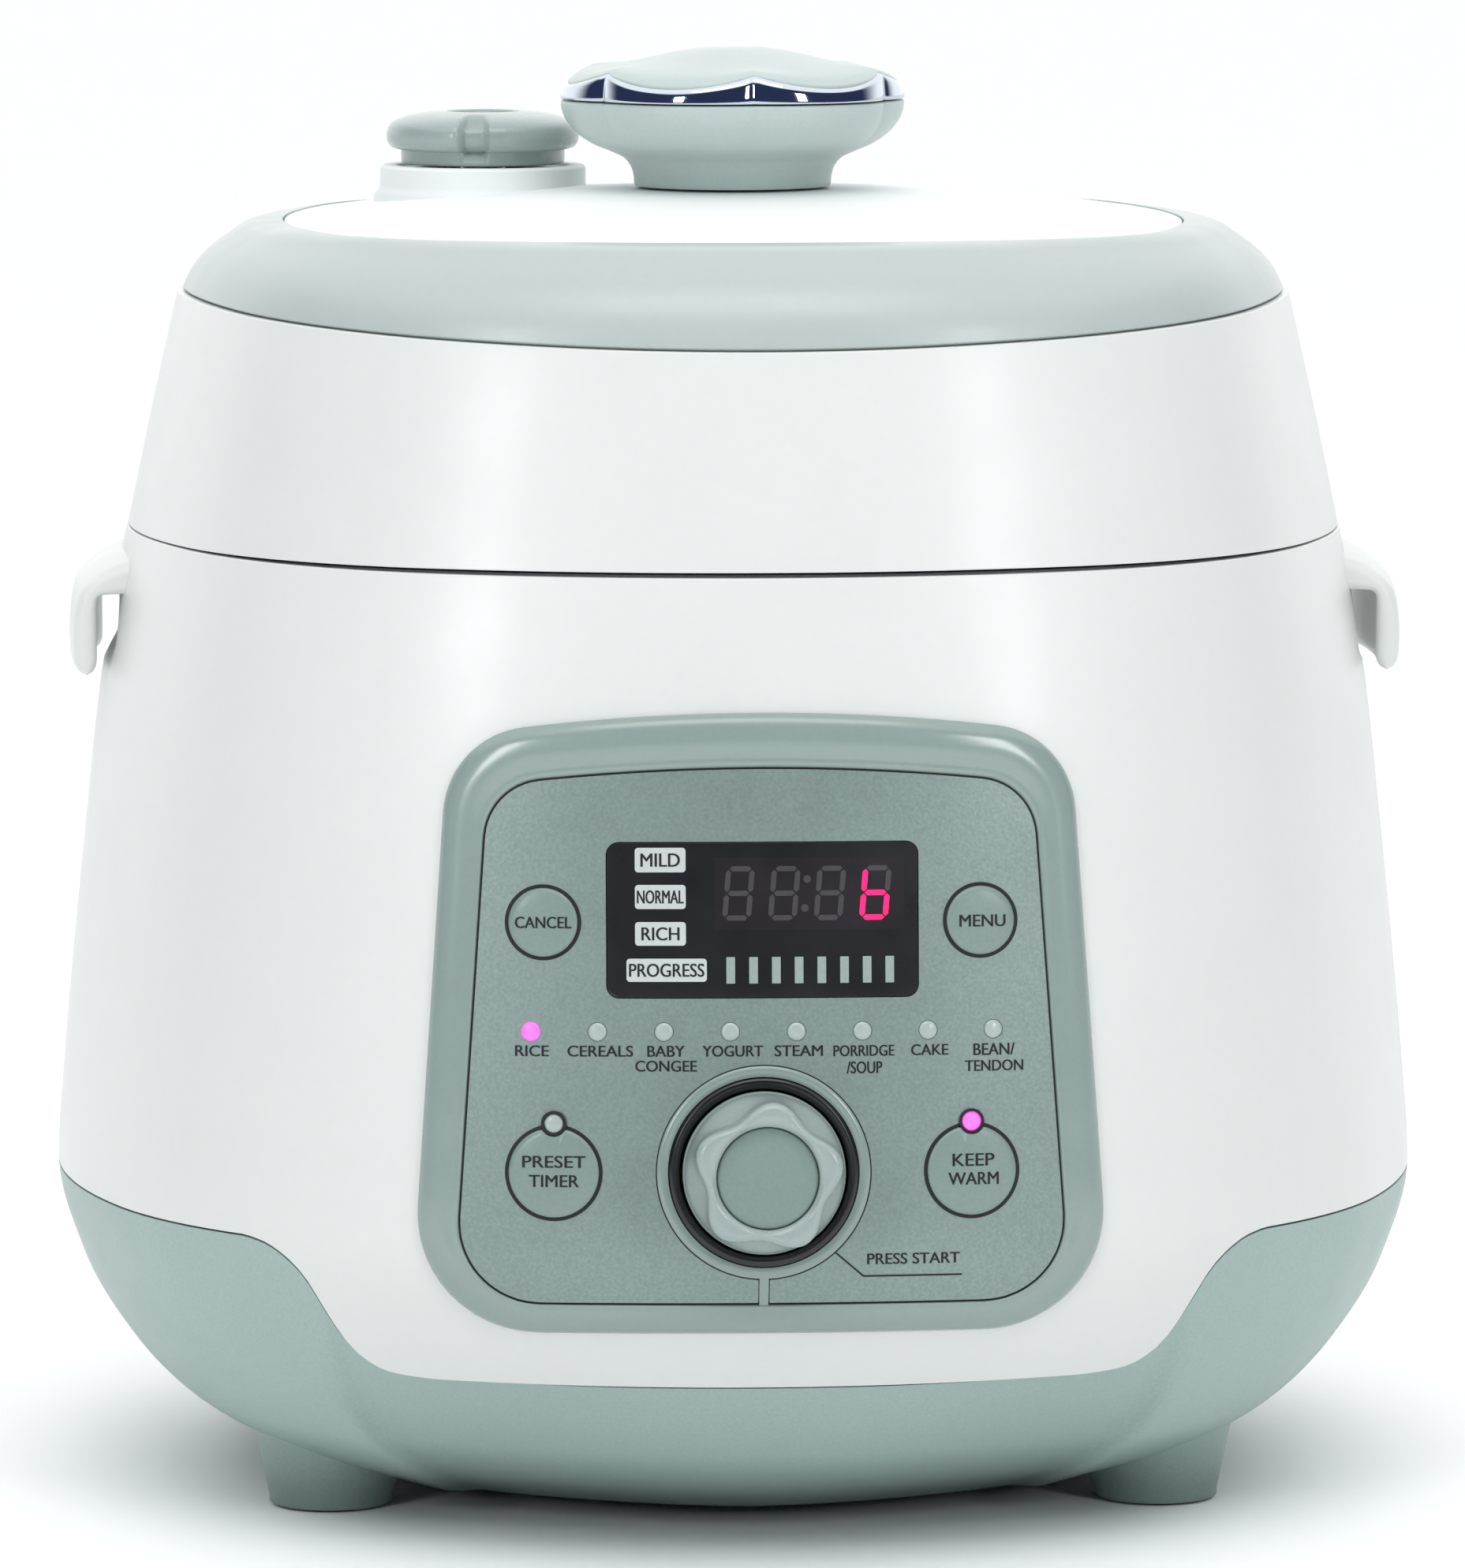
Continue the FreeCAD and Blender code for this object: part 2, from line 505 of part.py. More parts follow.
def parting_block():
    """Everything under the parting: its top is flat, curves down towards the middle and is flat again."""
    body = new_body("parting_block")
    sketch = new_sketch(body, "parting_outline", "XZ_Plane")
    far = SIZES["beyond"]
    under = SIZES["under"]
    low = SIZES["parting_low"]
    high = SIZES["parting_high"]
    low_half = SIZES["parting_low_half"]
    high_half = SIZES["parting_high_half"]
    low_radius = SIZES["parting_low_radius"]
    high_radius = SIZES["parting_high_radius"]
    # The two arcs meet where the line between their centres crosses them.
    low_middle = FreeCAD.Vector(low_half, low + low_radius, 0)
    high_middle = FreeCAD.Vector(high_half, high - high_radius, 0)
    along = high_middle - low_middle
    meet = low_middle + along * (low_radius / (low_radius + high_radius))
    chain = [Part.LineSegment(FreeCAD.Vector(-far, under, 0), FreeCAD.Vector(far, under, 0)),
             Part.LineSegment(FreeCAD.Vector(far, under, 0), FreeCAD.Vector(far, high, 0)),
             Part.LineSegment(FreeCAD.Vector(far, high, 0), FreeCAD.Vector(high_half, high, 0))]
    right = [FreeCAD.Vector(high_half, high, 0), meet, FreeCAD.Vector(low_half, low, 0)]
    middles = [high_middle, low_middle]
    arcs = []
    for index in range(2):
        start = right[index] - middles[index]
        end = right[index + 1] - middles[index]
        bulge = (start + end).normalize() * start.Length + middles[index]
        arcs.append((right[index], bulge, right[index + 1]))
    for start, bulge, end in arcs:
        chain.append(Part.Arc(start, bulge, end))
    chain.append(Part.LineSegment(FreeCAD.Vector(low_half, low, 0), FreeCAD.Vector(-low_half, low, 0)))
    for start, bulge, end in reversed(arcs):
        spots = [FreeCAD.Vector(-spot.x, spot.y, 0) for spot in (end, bulge, start)]
        chain.append(Part.Arc(*spots))
    chain.append(Part.LineSegment(FreeCAD.Vector(-high_half, high, 0), FreeCAD.Vector(-far, high, 0)))
    chain.append(Part.LineSegment(FreeCAD.Vector(-far, high, 0), FreeCAD.Vector(-far, under, 0)))
    sketch.addGeometry(chain, False)
    pad = body.newObject("PartDesign::Pad", "parting_pad")
    pad.Profile = sketch
    pad.Midplane = True
    pad.Length = 2 * far
    return body


lower_part = parting_block()
legs = [leg("leg_%d" % index, sx, sy) for index, (sx, sy) in enumerate(CORNER_SIGNS)]
panel_opening = panel_prism("panel_opening", "aperture")
front_block = box("front_block", ("-beyond", "beyond"), ("-beyond", "-vessel_outer"), ("0", "beyond"))
panel_opening_front = common("panel_opening_front", [panel_opening, front_block])

post_spots = round_places(BASE_POST_ANGLES, "post_circle")
screw_holes = []
for index, (x, y) in enumerate(post_spots):
    hole = cylinder("screw_hole_%d" % index, "screw_radius", "0", "body_height_b", number(x), number(y))
    screw_holes.append(hole)
base_solid = fuse("base_solid", [form_outer] + legs)
base_block = common("base_block", [base_solid, lower_part])
part(cut("base_cut", base_block, [form_inner] + screw_holes), "base_shell")

upper_block = cut("upper_block", form_outer, [lower_part])
upper_hollow = cut("upper_hollow", upper_block, [form_inner])
inlet_window = box("inlet_window", ("-inlet_body_half_x", "inlet_body_half_x"), ("inlet_front", "beyond"),
                   ("inlet_z - inlet_body_half_z", "inlet_z + inlet_body_half_z"))
backings = []
recesses = []
for side, sign in (("left", -1), ("right", 1)):
    ends = ("backing_x", "beyond") if sign > 0 else ("-beyond", "-backing_x")
    across = ("-backing_half", "backing_half")
    backing = box(side + "_backing", ends, across, ("backing_low", "body_height_l"))
    backings.append(common(side + "_backing_trim", [backing, form_outer]))
    ends = ("recess_x", "beyond") if sign > 0 else ("-beyond", "-recess_x")
    across = ("-recess_half", "recess_half")
    recess = box(side + "_recess", ends, across, ("recess_low", "handle_under"))
    recesses.append(recess)
upper_shell = fuse("upper_shell", [upper_hollow] + backings)
part(cut("body_cut", upper_shell, recesses + [panel_opening_front, inlet_window]), "body_shell")

everywhere = ("-beyond", "beyond")
rim_slab = box("rim_slab", everywhere, everywhere, ("body_height_l - rim_thick", "body_height_l"))
rim_plate = common("rim_plate", [rim_slab, form_inner])
rim_hole = cylinder("rim_hole", "rim_bore", "0", "over")
part(cut("rim_cut", rim_plate, [rim_hole] + backings), "body_rim")


def handle(side, sign):
    """A hood drawn in the XZ plane: a shoulder against the body and a slab hanging from it."""
    body = new_body(side + "_handle_bar")
    inside = "handle_out - handle_slab"
    profile = [("backing_x - 10", "handle_high"), ("handle_out", "handle_high"),
               ("handle_out", "handle_low"), (inside, "handle_low"), (inside, "handle_under"),
               ("backing_x - 10", "handle_under")]
    sketch = outline(body, side + "_handle_outline", profile, "XZ_Plane")
    pad = body.newObject("PartDesign::Pad", side + "_handle_pad")
    pad.Profile = sketch
    pad.Midplane = True
    bind(pad, "Length", "handle_half + handle_half")
    doc.recompute()
    edges = []
    for index, edge in enumerate(pad.Shape.Edges, start=1):
        middle = edge.CenterOfMass
        on_outer_face = abs(middle.x - SIZES["handle_out"]) < 0.01
        at_top = abs(middle.z - SIZES["handle_high"]) < 0.01
        if on_outer_face and (at_top or abs(middle.y) > SIZES["handle_half"] - 0.01):
            edges.append("Edge%d" % index)
    fillet = body.newObject("PartDesign::Fillet", side + "_handle_fillet")
    fillet.Base = (pad, edges)
    bind(fillet, "Radius", "handle_round")
    if sign < 0:
        body.Placement.Rotation = FreeCAD.Rotation(FreeCAD.Vector(0, 0, 1), 180)
    return part(cut(side + "_handle_cut", body, [form_outer]), side + "_handle")


handle("left", -1)
handle("right", 1)


# ---------------------------------------------------------------- feet, posts and screws

pads = []
for index, (sx, sy) in enumerate(CORNER_SIGNS):
    spot = (number(sx * SIZES["foot_x"]), number(sy * SIZES["foot_y"]))
    pads.append(cylinder("pad_%d" % index, "pad_radius", "0", "pad_thick", *spot))
part(fuse("pads_all", pads), "foot_pads")

posts = []
screws = []
for index, (x, y) in enumerate(post_spots):
    spot = (number(x), number(y))
    floor_level = "body_height_a + shell_wall"
    post = cylinder("post_%d" % index, "post_radius", floor_level, "vessel_low", *spot)
    bore = cylinder("post_bore_%d" % index, "screw_radius", "0", "body_height_a + screw_length", *spot)
    posts.append(cut("post_cut_%d" % index, post, [bore]))
    head = cylinder("head_%d" % index, "screw_head_radius", "body_height_a - screw_head",
                    "body_height_a", *spot)
    shank = cylinder("shank_%d" % index, "screw_radius", "body_height_a",
                     "body_height_a + screw_length", *spot)
    screws.append(fuse("screw_%d" % index, [head, shank]))
part(fuse("posts_all", posts), "vessel_posts")
part(fuse("screws_all", screws), "base_screws")


# ---------------------------------------------------------------- control panel

bezel_prism = panel_prism("bezel_prism", "bezel", "bezel_crown")
face_prism = panel_prism("face_prism", "face", "face_crown")
window_prism = panel_prism("window_prism", "window")

bezel_block = common("bezel_block", [bezel_prism, form_bezel])
part(cut("bezel_cut", bezel_block, [form_outer, face_prism]), "panel_bezel")


def lamp_peg(name, radius, x, v):
    return panel_peg(name, radius, x, v, "-panel_reach", "panel_reach")


key_holes = []
for node, sign, size, lit in KEYS:
    x = sign * SIZES[size + "_x"]
    v = SIZES[size + "_v"]
    key_holes.append(panel_peg(node + "_hole", size + "_hole", x, v, "-panel_reach", "panel_reach"))
dial_hole = panel_peg("dial_hole", "dial_ring_outer", 0, 0, "-panel_reach", "panel_reach")
lamps = []
for index, step in enumerate(LAMP_STEPS):
    along = step * SIZES["lamp_pitch"]
    lamps.append(lamp_peg("lamp_%d" % index, "lamp_radius", along, SIZES["lamp_v"]))
status_lamps = []
for index, sign in enumerate((-1, 1)):
    along = sign * SIZES["large_key_x"]
    status_lamps.append(lamp_peg("status_%d" % index, "status_radius", along, SIZES["status_v"]))
face_block = common("face_block", [face_prism, form_face])
face_plate = cut("face_plate", face_block, [form_outer, window_prism, dial_hole] + key_holes)
part(cut("face_cut", face_plate, lamps + status_lamps), "panel_face")

window_block = common("window_block", [window_prism, form_face])
part(cut("window_cut", window_block, [form_outer]), "display_window")
for group, pegs, node in (("lamp", lamps, "function_lenses"), ("status", status_lamps, "status_lenses")):
    lenses = []
    for index, peg in enumerate(pegs):
        block = common("%s_block_%d" % (group, index), [peg, form_face])
        lenses.append(cut("%s_cut_%d" % (group, index), block, [form_outer]))
    part(fuse(group + "_all", lenses), node)

switches = []
for node, sign, size, lit in KEYS:
    x = sign * SIZES[size + "_x"]
    v = SIZES[size + "_v"]
    peg = panel_peg(node + "_peg", size + "_radius", x, v, "key_back", "panel_reach")
    button = common(node + "_block", [peg, form_bezel])
    if lit:
        notch = lamp_peg(node + "_notch", "status_notch", x, SIZES["status_v"])
        button = cut(node + "_cut", button, [notch])
    part(button, node)
    half = SIZES["switch_side"] / 2
    switch = panel_block(node + "_switch", number(half), number(v - half), number(v + half),
                         "board_depth + board_thick", "switch_front", x)
    switches.append(switch)
part(fuse("switches_all", switches), "key_switches")

board_plate = panel_block("board_plate", "board_half", "board_low", "board_high",
                          "board_depth", "board_depth + board_thick")
board_pegs = []
for index, (sx, v) in enumerate(((-1, "peg_low"), (1, "peg_low"), (-1, "peg_high"), (1, "peg_high"))):
    along = sx * SIZES["peg_x"]
    peg = panel_peg("board_peg_%d" % index, "peg_radius", along, SIZES[v], "board_depth", "panel_reach")
    board_pegs.append(common("board_peg_trim_%d" % index, [peg, form_inner]))
part(fuse("board_all", [board_plate] + board_pegs), "control_board")
module = panel_block("module", "module_half", "module_low", "module_high",
                     "board_depth + board_thick", "module_front")
part(module, "display_module")

ring_outer = panel_peg("ring_outer", "dial_ring_outer", 0, 0, "dial_ring_back", "dial_ring_front")
ring_inner = panel_peg("ring_inner", "dial_ring_inner", 0, 0, "-panel_reach", "panel_reach")
part(cut("ring_cut", ring_outer, [ring_inner]), "dial_ring")

encoder_half = number(SIZES["encoder_side"] / 2)
encoder = panel_block("encoder", encoder_half, "-" + encoder_half, encoder_half,
                      "board_depth + board_thick", "encoder_front")
encoder_cavity = panel_peg("encoder_cavity", "encoder_cavity_radius", 0, 0,
                           "encoder_cavity_back", "encoder_cavity_front")
encoder_bore = panel_peg("encoder_bore", "shaft_radius + running_gap", 0, 0,
                         "encoder_cavity_front - 1", "0")
part(cut("encoder_cut", encoder, [encoder_cavity, encoder_bore]), "dial_encoder")
part(panel_peg("push_plate", "push_plate_radius", 0, 0, "push_plate_back", "push_plate_front"),
     "encoder_push_plate")
part(panel_peg("dial_axle", "shaft_radius", 0, 0, "shaft_back", "shaft_front"), "dial_shaft")

dial_bar = turned("dial_bar", [
    ("0", "dial_flange_front"), ("dial_lobe", "dial_flange_front"), ("dial_lobe", "dial_front - 1"),
    ("dial_lobe - 1", "dial_front"), ("0", "dial_front")])
scallop(dial_bar, "dial_scallop", "dial_valley", 5, SIZES["dial_lobe_turn"] + 36.0, SIZES["panel_reach"])
on_panel(dial_bar)
dial_base = panel_peg("dial_base", "dial_flange", 0, 0, "dial_flange_back", "dial_flange_front")
dial_solid = fuse("dial_solid", [dial_bar, dial_base])
dial_recess = panel_peg("dial_recess", "dial_recess", 0, 0, "dial_recess_floor", "panel_reach")
dial_bore = panel_peg("dial_bore", "shaft_radius", 0, 0, "0", "shaft_front")
part(cut("dial_cut", dial_solid, [dial_recess, dial_bore]), "dial_knob")
part(panel_peg("dial_insert", "dial_recess", 0, 0, "dial_recess_floor", "dial_insert_front"), "dial_cap")


# ---------------------------------------------------------------- pressure vessel, heater and pot

vessel_profile = [
    ("0", "vessel_low"), ("vessel_outer", "vessel_low"), ("vessel_outer", "flange_low"),
    ("flange_outer", "flange_low"), ("flange_outer", "flange_high"), ("flange_inner", "flange_high"),
    ("flange_inner", "flange_low"), ("vessel_inner", "flange_low"),
    ("vessel_inner", "vessel_low + vessel_floor"), ("0", "vessel_low + vessel_floor")]
vessel = turned("vessel", vessel_profile)
slots = []
for index in range(LUG_COUNT):
    angle = index * 360.0 / LUG_COUNT
    slots.append(wedge("slot_%d" % index, "vessel_inner", "flange_low - 1", "flange_high + 1",
                       angle, "slot_half_angle"))
part(cut("vessel_cut", vessel, slots), "pressure_vessel")

heater_disc = cylinder("heater_disc", "heater_radius", "heater_low", "heater_high")
heater_legs = []
for index, (x, y) in enumerate(round_places(BASE_POST_ANGLES, "heater_leg_circle")):
    heater_legs.append(cylinder("heater_leg_%d" % index, "heater_leg_radius", "vessel_low + vessel_floor",
                                "heater_low", number(x), number(y)))
heater_solid = fuse("heater_solid", [heater_disc] + heater_legs)
heater_bore = cylinder("heater_bore", "heater_hole", "0", "over")
part(cut("heater_cut", heater_solid, [heater_bore]), "heating_plate")

pot = turned("pot", [
    ("0", "heater_high"), ("pot_outer - 8", "heater_high"), ("pot_outer", "heater_high + 8"),
    ("pot_outer", "pot_high - pot_lip_thick"), ("pot_lip", "pot_high - pot_lip_thick"),
    ("pot_lip", "pot_high"), ("pot_outer - pot_wall", "pot_high"),
    ("pot_outer - pot_wall", "heater_high + 9"), ("pot_outer - 9", "heater_high + pot_wall"),
    ("0", "heater_high + pot_wall")])
part(pot, "inner_pot")

part(cylinder("sensor", "sensor_radius", "sensor_low", "sensor_high"), "sensor_plunger")
helix = doc.addObject("Part::Helix", "spring_path")
bind(helix, "Radius", "spring_radius")
bind(helix, "Pitch", "spring_pitch")
bind(helix, "Height", "sensor_low - vessel_low - vessel_floor - spring_wire - spring_wire")
place(helix, "0", "0", "vessel_low + vessel_floor + spring_wire")
wire_end = doc.addObject("Part::Circle", "spring_section")
bind(wire_end, "Radius", "spring_wire")
wire_end.Placement = FreeCAD.Placement(
    FreeCAD.Vector(SIZES["spring_radius"], 0, value("vessel_low + vessel_floor + spring_wire")),
    FreeCAD.Rotation(FreeCAD.Vector(1, 0, 0), 90))
spring = doc.addObject("Part::Sweep", "spring")
spring.Sections = [wire_end]
spring.Spine = (helix, [])
spring.Solid = True
spring.Frenet = True
part(spring, "sensor_spring")

part(cylinder("pressure_switch_can", "pressure_switch_radius", "vessel_low - pressure_switch_high",
              "vessel_low", "pressure_switch_x"), "pressure_switch")

supply_high = "supply_board_low + supply_board_thick"
supply = [box("supply_plate", ("-supply_board_half_x", "supply_board_half_x"),
              ("-supply_board_half_y", "supply_board_half_y"), ("supply_board_low", supply_high)),
          box("supply_transformer", ("-30", "-6"), ("-14", "14"), (supply_high, supply_high + " + 9")),
          box("supply_relay", ("4", "20"), ("-20", "-8"), (supply_high, supply_high + " + 8"))]
for index, (sx, sy) in enumerate(CORNER_SIGNS):
    spot = (number(sx * SIZES["supply_foot_x"]), number(sy * SIZES["supply_foot_y"]))
    supply.append(cylinder("supply_foot_%d" % index, "supply_foot_radius", "body_height_a + shell_wall",
                           "supply_board_low", *spot))
part(fuse("supply_all", supply), "supply_board")


# ---------------------------------------------------------------- power inlet

def inlet_box(name, key, front, back):
    """A block behind the inlet's mouth with the half-widths of one of its parts."""
    half_x = "inlet_%s_half_x" % key
    half_z = "inlet_%s_half_z" % key
    return box(name, ("-" + half_x, half_x), (front, back), ("inlet_z - " + half_z, "inlet_z + " + half_z))


inlet_flange = inlet_box("inlet_flange", "flange", "inlet_cavity_front", "inlet_flange_back")
inlet_plate = cut("inlet_plate", inlet_flange, [form_outer])
inlet_core = inlet_box("inlet_core", "body", "inlet_front", "inlet_flange_back")
inlet_solid = fuse("inlet_solid", [inlet_plate, inlet_core])
inlet_cavity = inlet_box("inlet_cavity", "cavity", "inlet_cavity_front", "beyond")
part(cut("inlet_cut", inlet_solid, [inlet_cavity]), "power_inlet")
pins = []
pin_ends = ("inlet_cavity_front", "inlet_cavity_front + pin_length")
for index, (x, z) in enumerate((("-8", "inlet_z - 2"), ("6", "inlet_z - 2"), ("-1", "inlet_z + 0.5"))):
    pins.append(box("pin_%d" % index, (x, x + " + pin_x"), pin_ends, (z, z + " + pin_z")))
part(fuse("pins_all", pins), "inlet_pins")


# ---------------------------------------------------------------- lid

skirt_outer = lofted("skirt_outer", [("lid_low_half", "lid_low"), ("skirt_high_half", "skirt_high")])
skirt_inner = lofted("skirt_inner", [("lid_low_half - shell_wall", "lid_low"),
                                     ("skirt_high_half - shell_wall", "skirt_high")])
part(cut("skirt_cut", skirt_outer, [skirt_inner]), "lid_skirt")

TRIM = (("trim_half_a", "skirt_high"), ("trim_half_b", "trim_height_b"), ("trim_half_c", "trim_height_c"),
        ("trim_half_d", "trim_height_d"), ("trim_half_e", "trim_height_e"))
trim_outer = lofted("trim_outer", TRIM)
TRIM_INSIDE = [(half + " - shell_wall", height + " - shell_wall") for half, height in TRIM]
trim_inner = lofted("trim_inner", TRIM_INSIDE)
cover_prism = new_body("cover_prism")
cover_outline = rounded_square(cover_prism, "cover_outline", "cover_half", "cover_low",
                               "cover_side_factor", "cover_corner_factor")
cover_pad = cover_prism.newObject("PartDesign::Pad", "cover_pad")
cover_pad.Profile = cover_outline
bind(cover_pad, "Length", "panel_reach")
part(cut("trim_cut", trim_outer, [trim_inner, cover_prism]), "lid_trim_ring")

dome_outer = doc.addObject("Part::Sphere", "dome_outer")
bind(dome_outer, "Radius", "dome_radius")
place(dome_outer, "0", "0", "dome_high - dome_radius")
dome_inner = doc.addObject("Part::Sphere", "dome_inner")
bind(dome_inner, "Radius", "dome_radius - shell_wall")
place(dome_inner, "0", "0", "dome_high - dome_radius")
cover_top = common("cover_top", [cover_prism, dome_outer])
cover_shell = cut("cover_shell", cover_top, [dome_inner])
boss = cylinder("boss", "boss_radius", "boss_low", "boss_high", "valve_x", "valve_y")
cover_solid = fuse("cover_solid", [cover_shell, boss])
vent_hole = cylinder("vent_hole", "vent_radius", "0", "over", "valve_x", "valve_y")
shaft_hole = cylinder("shaft_hole", "lock_shaft_radius + running_gap", "0", "over")
part(cut("cover_cut", cover_solid, [vent_hole, shaft_hole]), "lid_top_cover")

liner_slab = box("liner_slab", everywhere, everywhere, ("liner_low", "liner_low + liner_thick"))
liner_plate = common("liner_plate", [liner_slab, skirt_inner])
part(cut("liner_cut", liner_plate, [vent_hole, shaft_hole]), "lid_liner")

inner_lid_high = "inner_lid_low + inner_lid_thick"
inner_disc = cylinder("inner_disc", "inner_lid_radius", "inner_lid_low", inner_lid_high)
float_hole = cylinder("float_hole", "float_radius + running_gap", "0", "over", "0", "float_y")
vent_mouth = cylinder("vent_mouth", "vent_bore", "0", "over", "valve_x", "valve_y")
part(cut("inner_lid_cut", inner_disc, [float_hole, vent_mouth]), "inner_lid")
seal_solid = cylinder("seal_solid", "seal_outer", "seal_low", "inner_lid_low")
seal_bore = cylinder("seal_bore", "seal_inner", "0", "over")
part(cut("seal_cut", seal_solid, [seal_bore]), "seal_ring")
lid_posts = []
for index, (x, y) in enumerate(round_places(LID_POST_ANGLES, "lid_post_circle")):
    lid_posts.append(cylinder("lid_post_%d" % index, "lid_post_radius", inner_lid_high, "liner_low",
                              number(x), number(y)))
part(fuse("lid_posts_all", lid_posts), "lid_posts")

vent_solid = cylinder("vent_solid", "vent_radius", inner_lid_high, "vent_high", "valve_x", "valve_y")
vent_bore = cylinder("vent_bore", "vent_bore", "0", "over", "valve_x", "valve_y")
part(cut("vent_cut", vent_solid, [vent_bore]), "vent_pipe")

valve_solid = turned("valve_solid", [
    ("0", "valve_low"), ("valve_neck", "valve_low"), ("valve_neck", "valve_neck_high"),
    ("valve_wide", "valve_wide_high"), ("valve_wide - 1", "valve_shoulder_high - 1"),
    ("valve_top_radius", "valve_high"), ("valve_well", "valve_high"), ("valve_well", "valve_well_low"),
    ("0", "valve_well_low")])
place(valve_solid, "valve_x", "valve_y")
valve_bore = cylinder("valve_bore", "vent_radius + running_gap", "boss_low", "vent_high + 0.3",
                      "valve_x", "valve_y")
part(cut("valve_cut", valve_solid, [valve_bore]), "valve_cap")

float_stem = cylinder("float_stem", "float_radius", "float_low", "float_high", "0", "float_y")
float_head = cylinder("float_head", "float_collar", "float_collar_low",
                      "float_collar_low + float_collar_thick", "0", "float_y")
part(fuse("float_all", [float_stem, float_head]), "float_pin")


# ---------------------------------------------------------------- lid lock

grip = turned("grip", [
    ("0", "knob_low"), ("neck_radius", "knob_low"), ("knob_step_radius", "knob_step_high"),
    ("knob_under_radius", "knob_under_high"), ("knob_wide", "knob_wide_low"), ("knob_wide", "grip_high"),
    ("0", "grip_high")])
first_valley = -90.0 + SIZES["knob_turn"]
scallop(grip, "knob_scallop", "knob_valley", LUG_COUNT, first_valley, 400.0)
grip_bore = cylinder("grip_bore", "lock_shaft_radius", "lock_high", "lock_shaft_high")
part(cut("grip_cut", grip, [grip_bore]), "knob_grip")
chrome = turned("chrome", [("0", "grip_high"), ("knob_wide", "grip_high"), ("knob_wide", "chrome_high"),
                           ("0", "chrome_high")])
part(scallop(chrome, "knob_scallop", "knob_valley", LUG_COUNT, first_valley, 400.0), "knob_chrome_ring")
cap = turned("cap", [
    ("0", "chrome_high"), ("knob_wide", "chrome_high"), ("cap_round_radius", "cap_round_high"),
    ("cap_top_radius", "cap_high"), ("0", "cap_high")])
part(scallop(cap, "knob_scallop", "knob_valley", LUG_COUNT, first_valley, 400.0), "knob_cap")

part(cylinder("lock_axle", "lock_shaft_radius", "lock_high", "lock_shaft_high"), "lock_shaft")
lock_disc = cylinder("lock_disc", "lock_ring_outer", "lock_low", "lock_high")
lock_hole = cylinder("lock_hole", "lock_ring_inner", "lock_low - 1", "lock_high + 1")
lock_rim = cut("lock_rim", lock_disc, [lock_hole])
lock_centre = cylinder("lock_centre", "lock_hub", "lock_low", "lock_high")
lock_pieces = [lock_rim, lock_centre]
for index, angle in enumerate(SPOKE_ANGLES):
    spoke = doc.addObject("Part::Box", "spoke_%d" % index)
    bind(spoke, "Length", "lock_ring_inner + 2")
    bind(spoke, "Width", "spoke_width")
    bind(spoke, "Height", span("lock_low", "lock_high"))
    turn = FreeCAD.Rotation(FreeCAD.Vector(0, 0, 1), angle)
    start = turn.multVec(FreeCAD.Vector(0, -SIZES["spoke_width"] / 2, SIZES["lock_low"]))
    spoke.Placement = FreeCAD.Placement(start, turn)
    lock_pieces.append(spoke)
leg_hole = cylinder("leg_hole", "lug_leg_inner", "0", "over")
for index in range(LUG_COUNT):
    angle = index * 360.0 / LUG_COUNT
    stem = wedge("lug_leg_%d" % index, "lug_leg_outer", "lug_low", "lock_low", angle, "lug_half_angle")
    lug = wedge("lug_%d" % index, "lug_outer", "lug_low", "lug_high", angle, "lug_half_angle")
    solid = fuse("lug_solid_%d" % index, [stem, lug])
    lock_pieces.append(cut("lug_cut_%d" % index, solid, [leg_hole]))
part(fuse("lock_all", lock_pieces), "lock_ring")


# ---------------------------------------------------------------- hinge

def cross_bar(name, radius, low, high):
    """A round bar along X on the hinge axis."""
    thing = doc.addObject("Part::Cylinder", name)
    bind(thing, "Radius", radius)
    bind(thing, "Height", span(low, high))
    start = FreeCAD.Vector(value(low), SIZES["hinge_y"], SIZES["hinge_z"])
    thing.Placement = FreeCAD.Placement(start, FreeCAD.Rotation(FreeCAD.Vector(0, 1, 0), 90))
    return thing


def cross_pad(name, half, corners):
    """A solid with an outline in the YZ plane, half wide each side of the middle."""
    body = new_body(name)
    sketch = outline(body, name + "_outline", corners, "YZ_Plane")
    pad = body.newObject("PartDesign::Pad", name + "_pad")
    pad.Profile = sketch
    pad.Midplane = True
    bind(pad, "Length", half + " + " + half)
    return body


arm_block = cross_pad("arm_block", "arm_half", [
    ("arm_start", "arm_low"), ("hinge_y", "arm_low"), ("hinge_y", "hinge_z + barrel_radius"),
    ("arm_shoulder_y", "arm_shoulder_z"), ("arm_start", "arm_high")])
arm_outside = cut("arm_outside", arm_block, [skirt_outer])
arm_barrel = cross_bar("arm_barrel", "barrel_radius", "-arm_half", "arm_half")
arm_solid = fuse("arm_solid", [arm_outside, arm_barrel])
arm_bore = cross_bar("arm_bore", "hinge_pin_radius + running_gap", "-beyond", "beyond")
part(cut("arm_cut", arm_solid, [arm_bore]), "lid_hinge_arm")
part(cross_bar("pin_bar", "hinge_pin_radius", "-knuckle_end", "knuckle_end"), "hinge_pin")

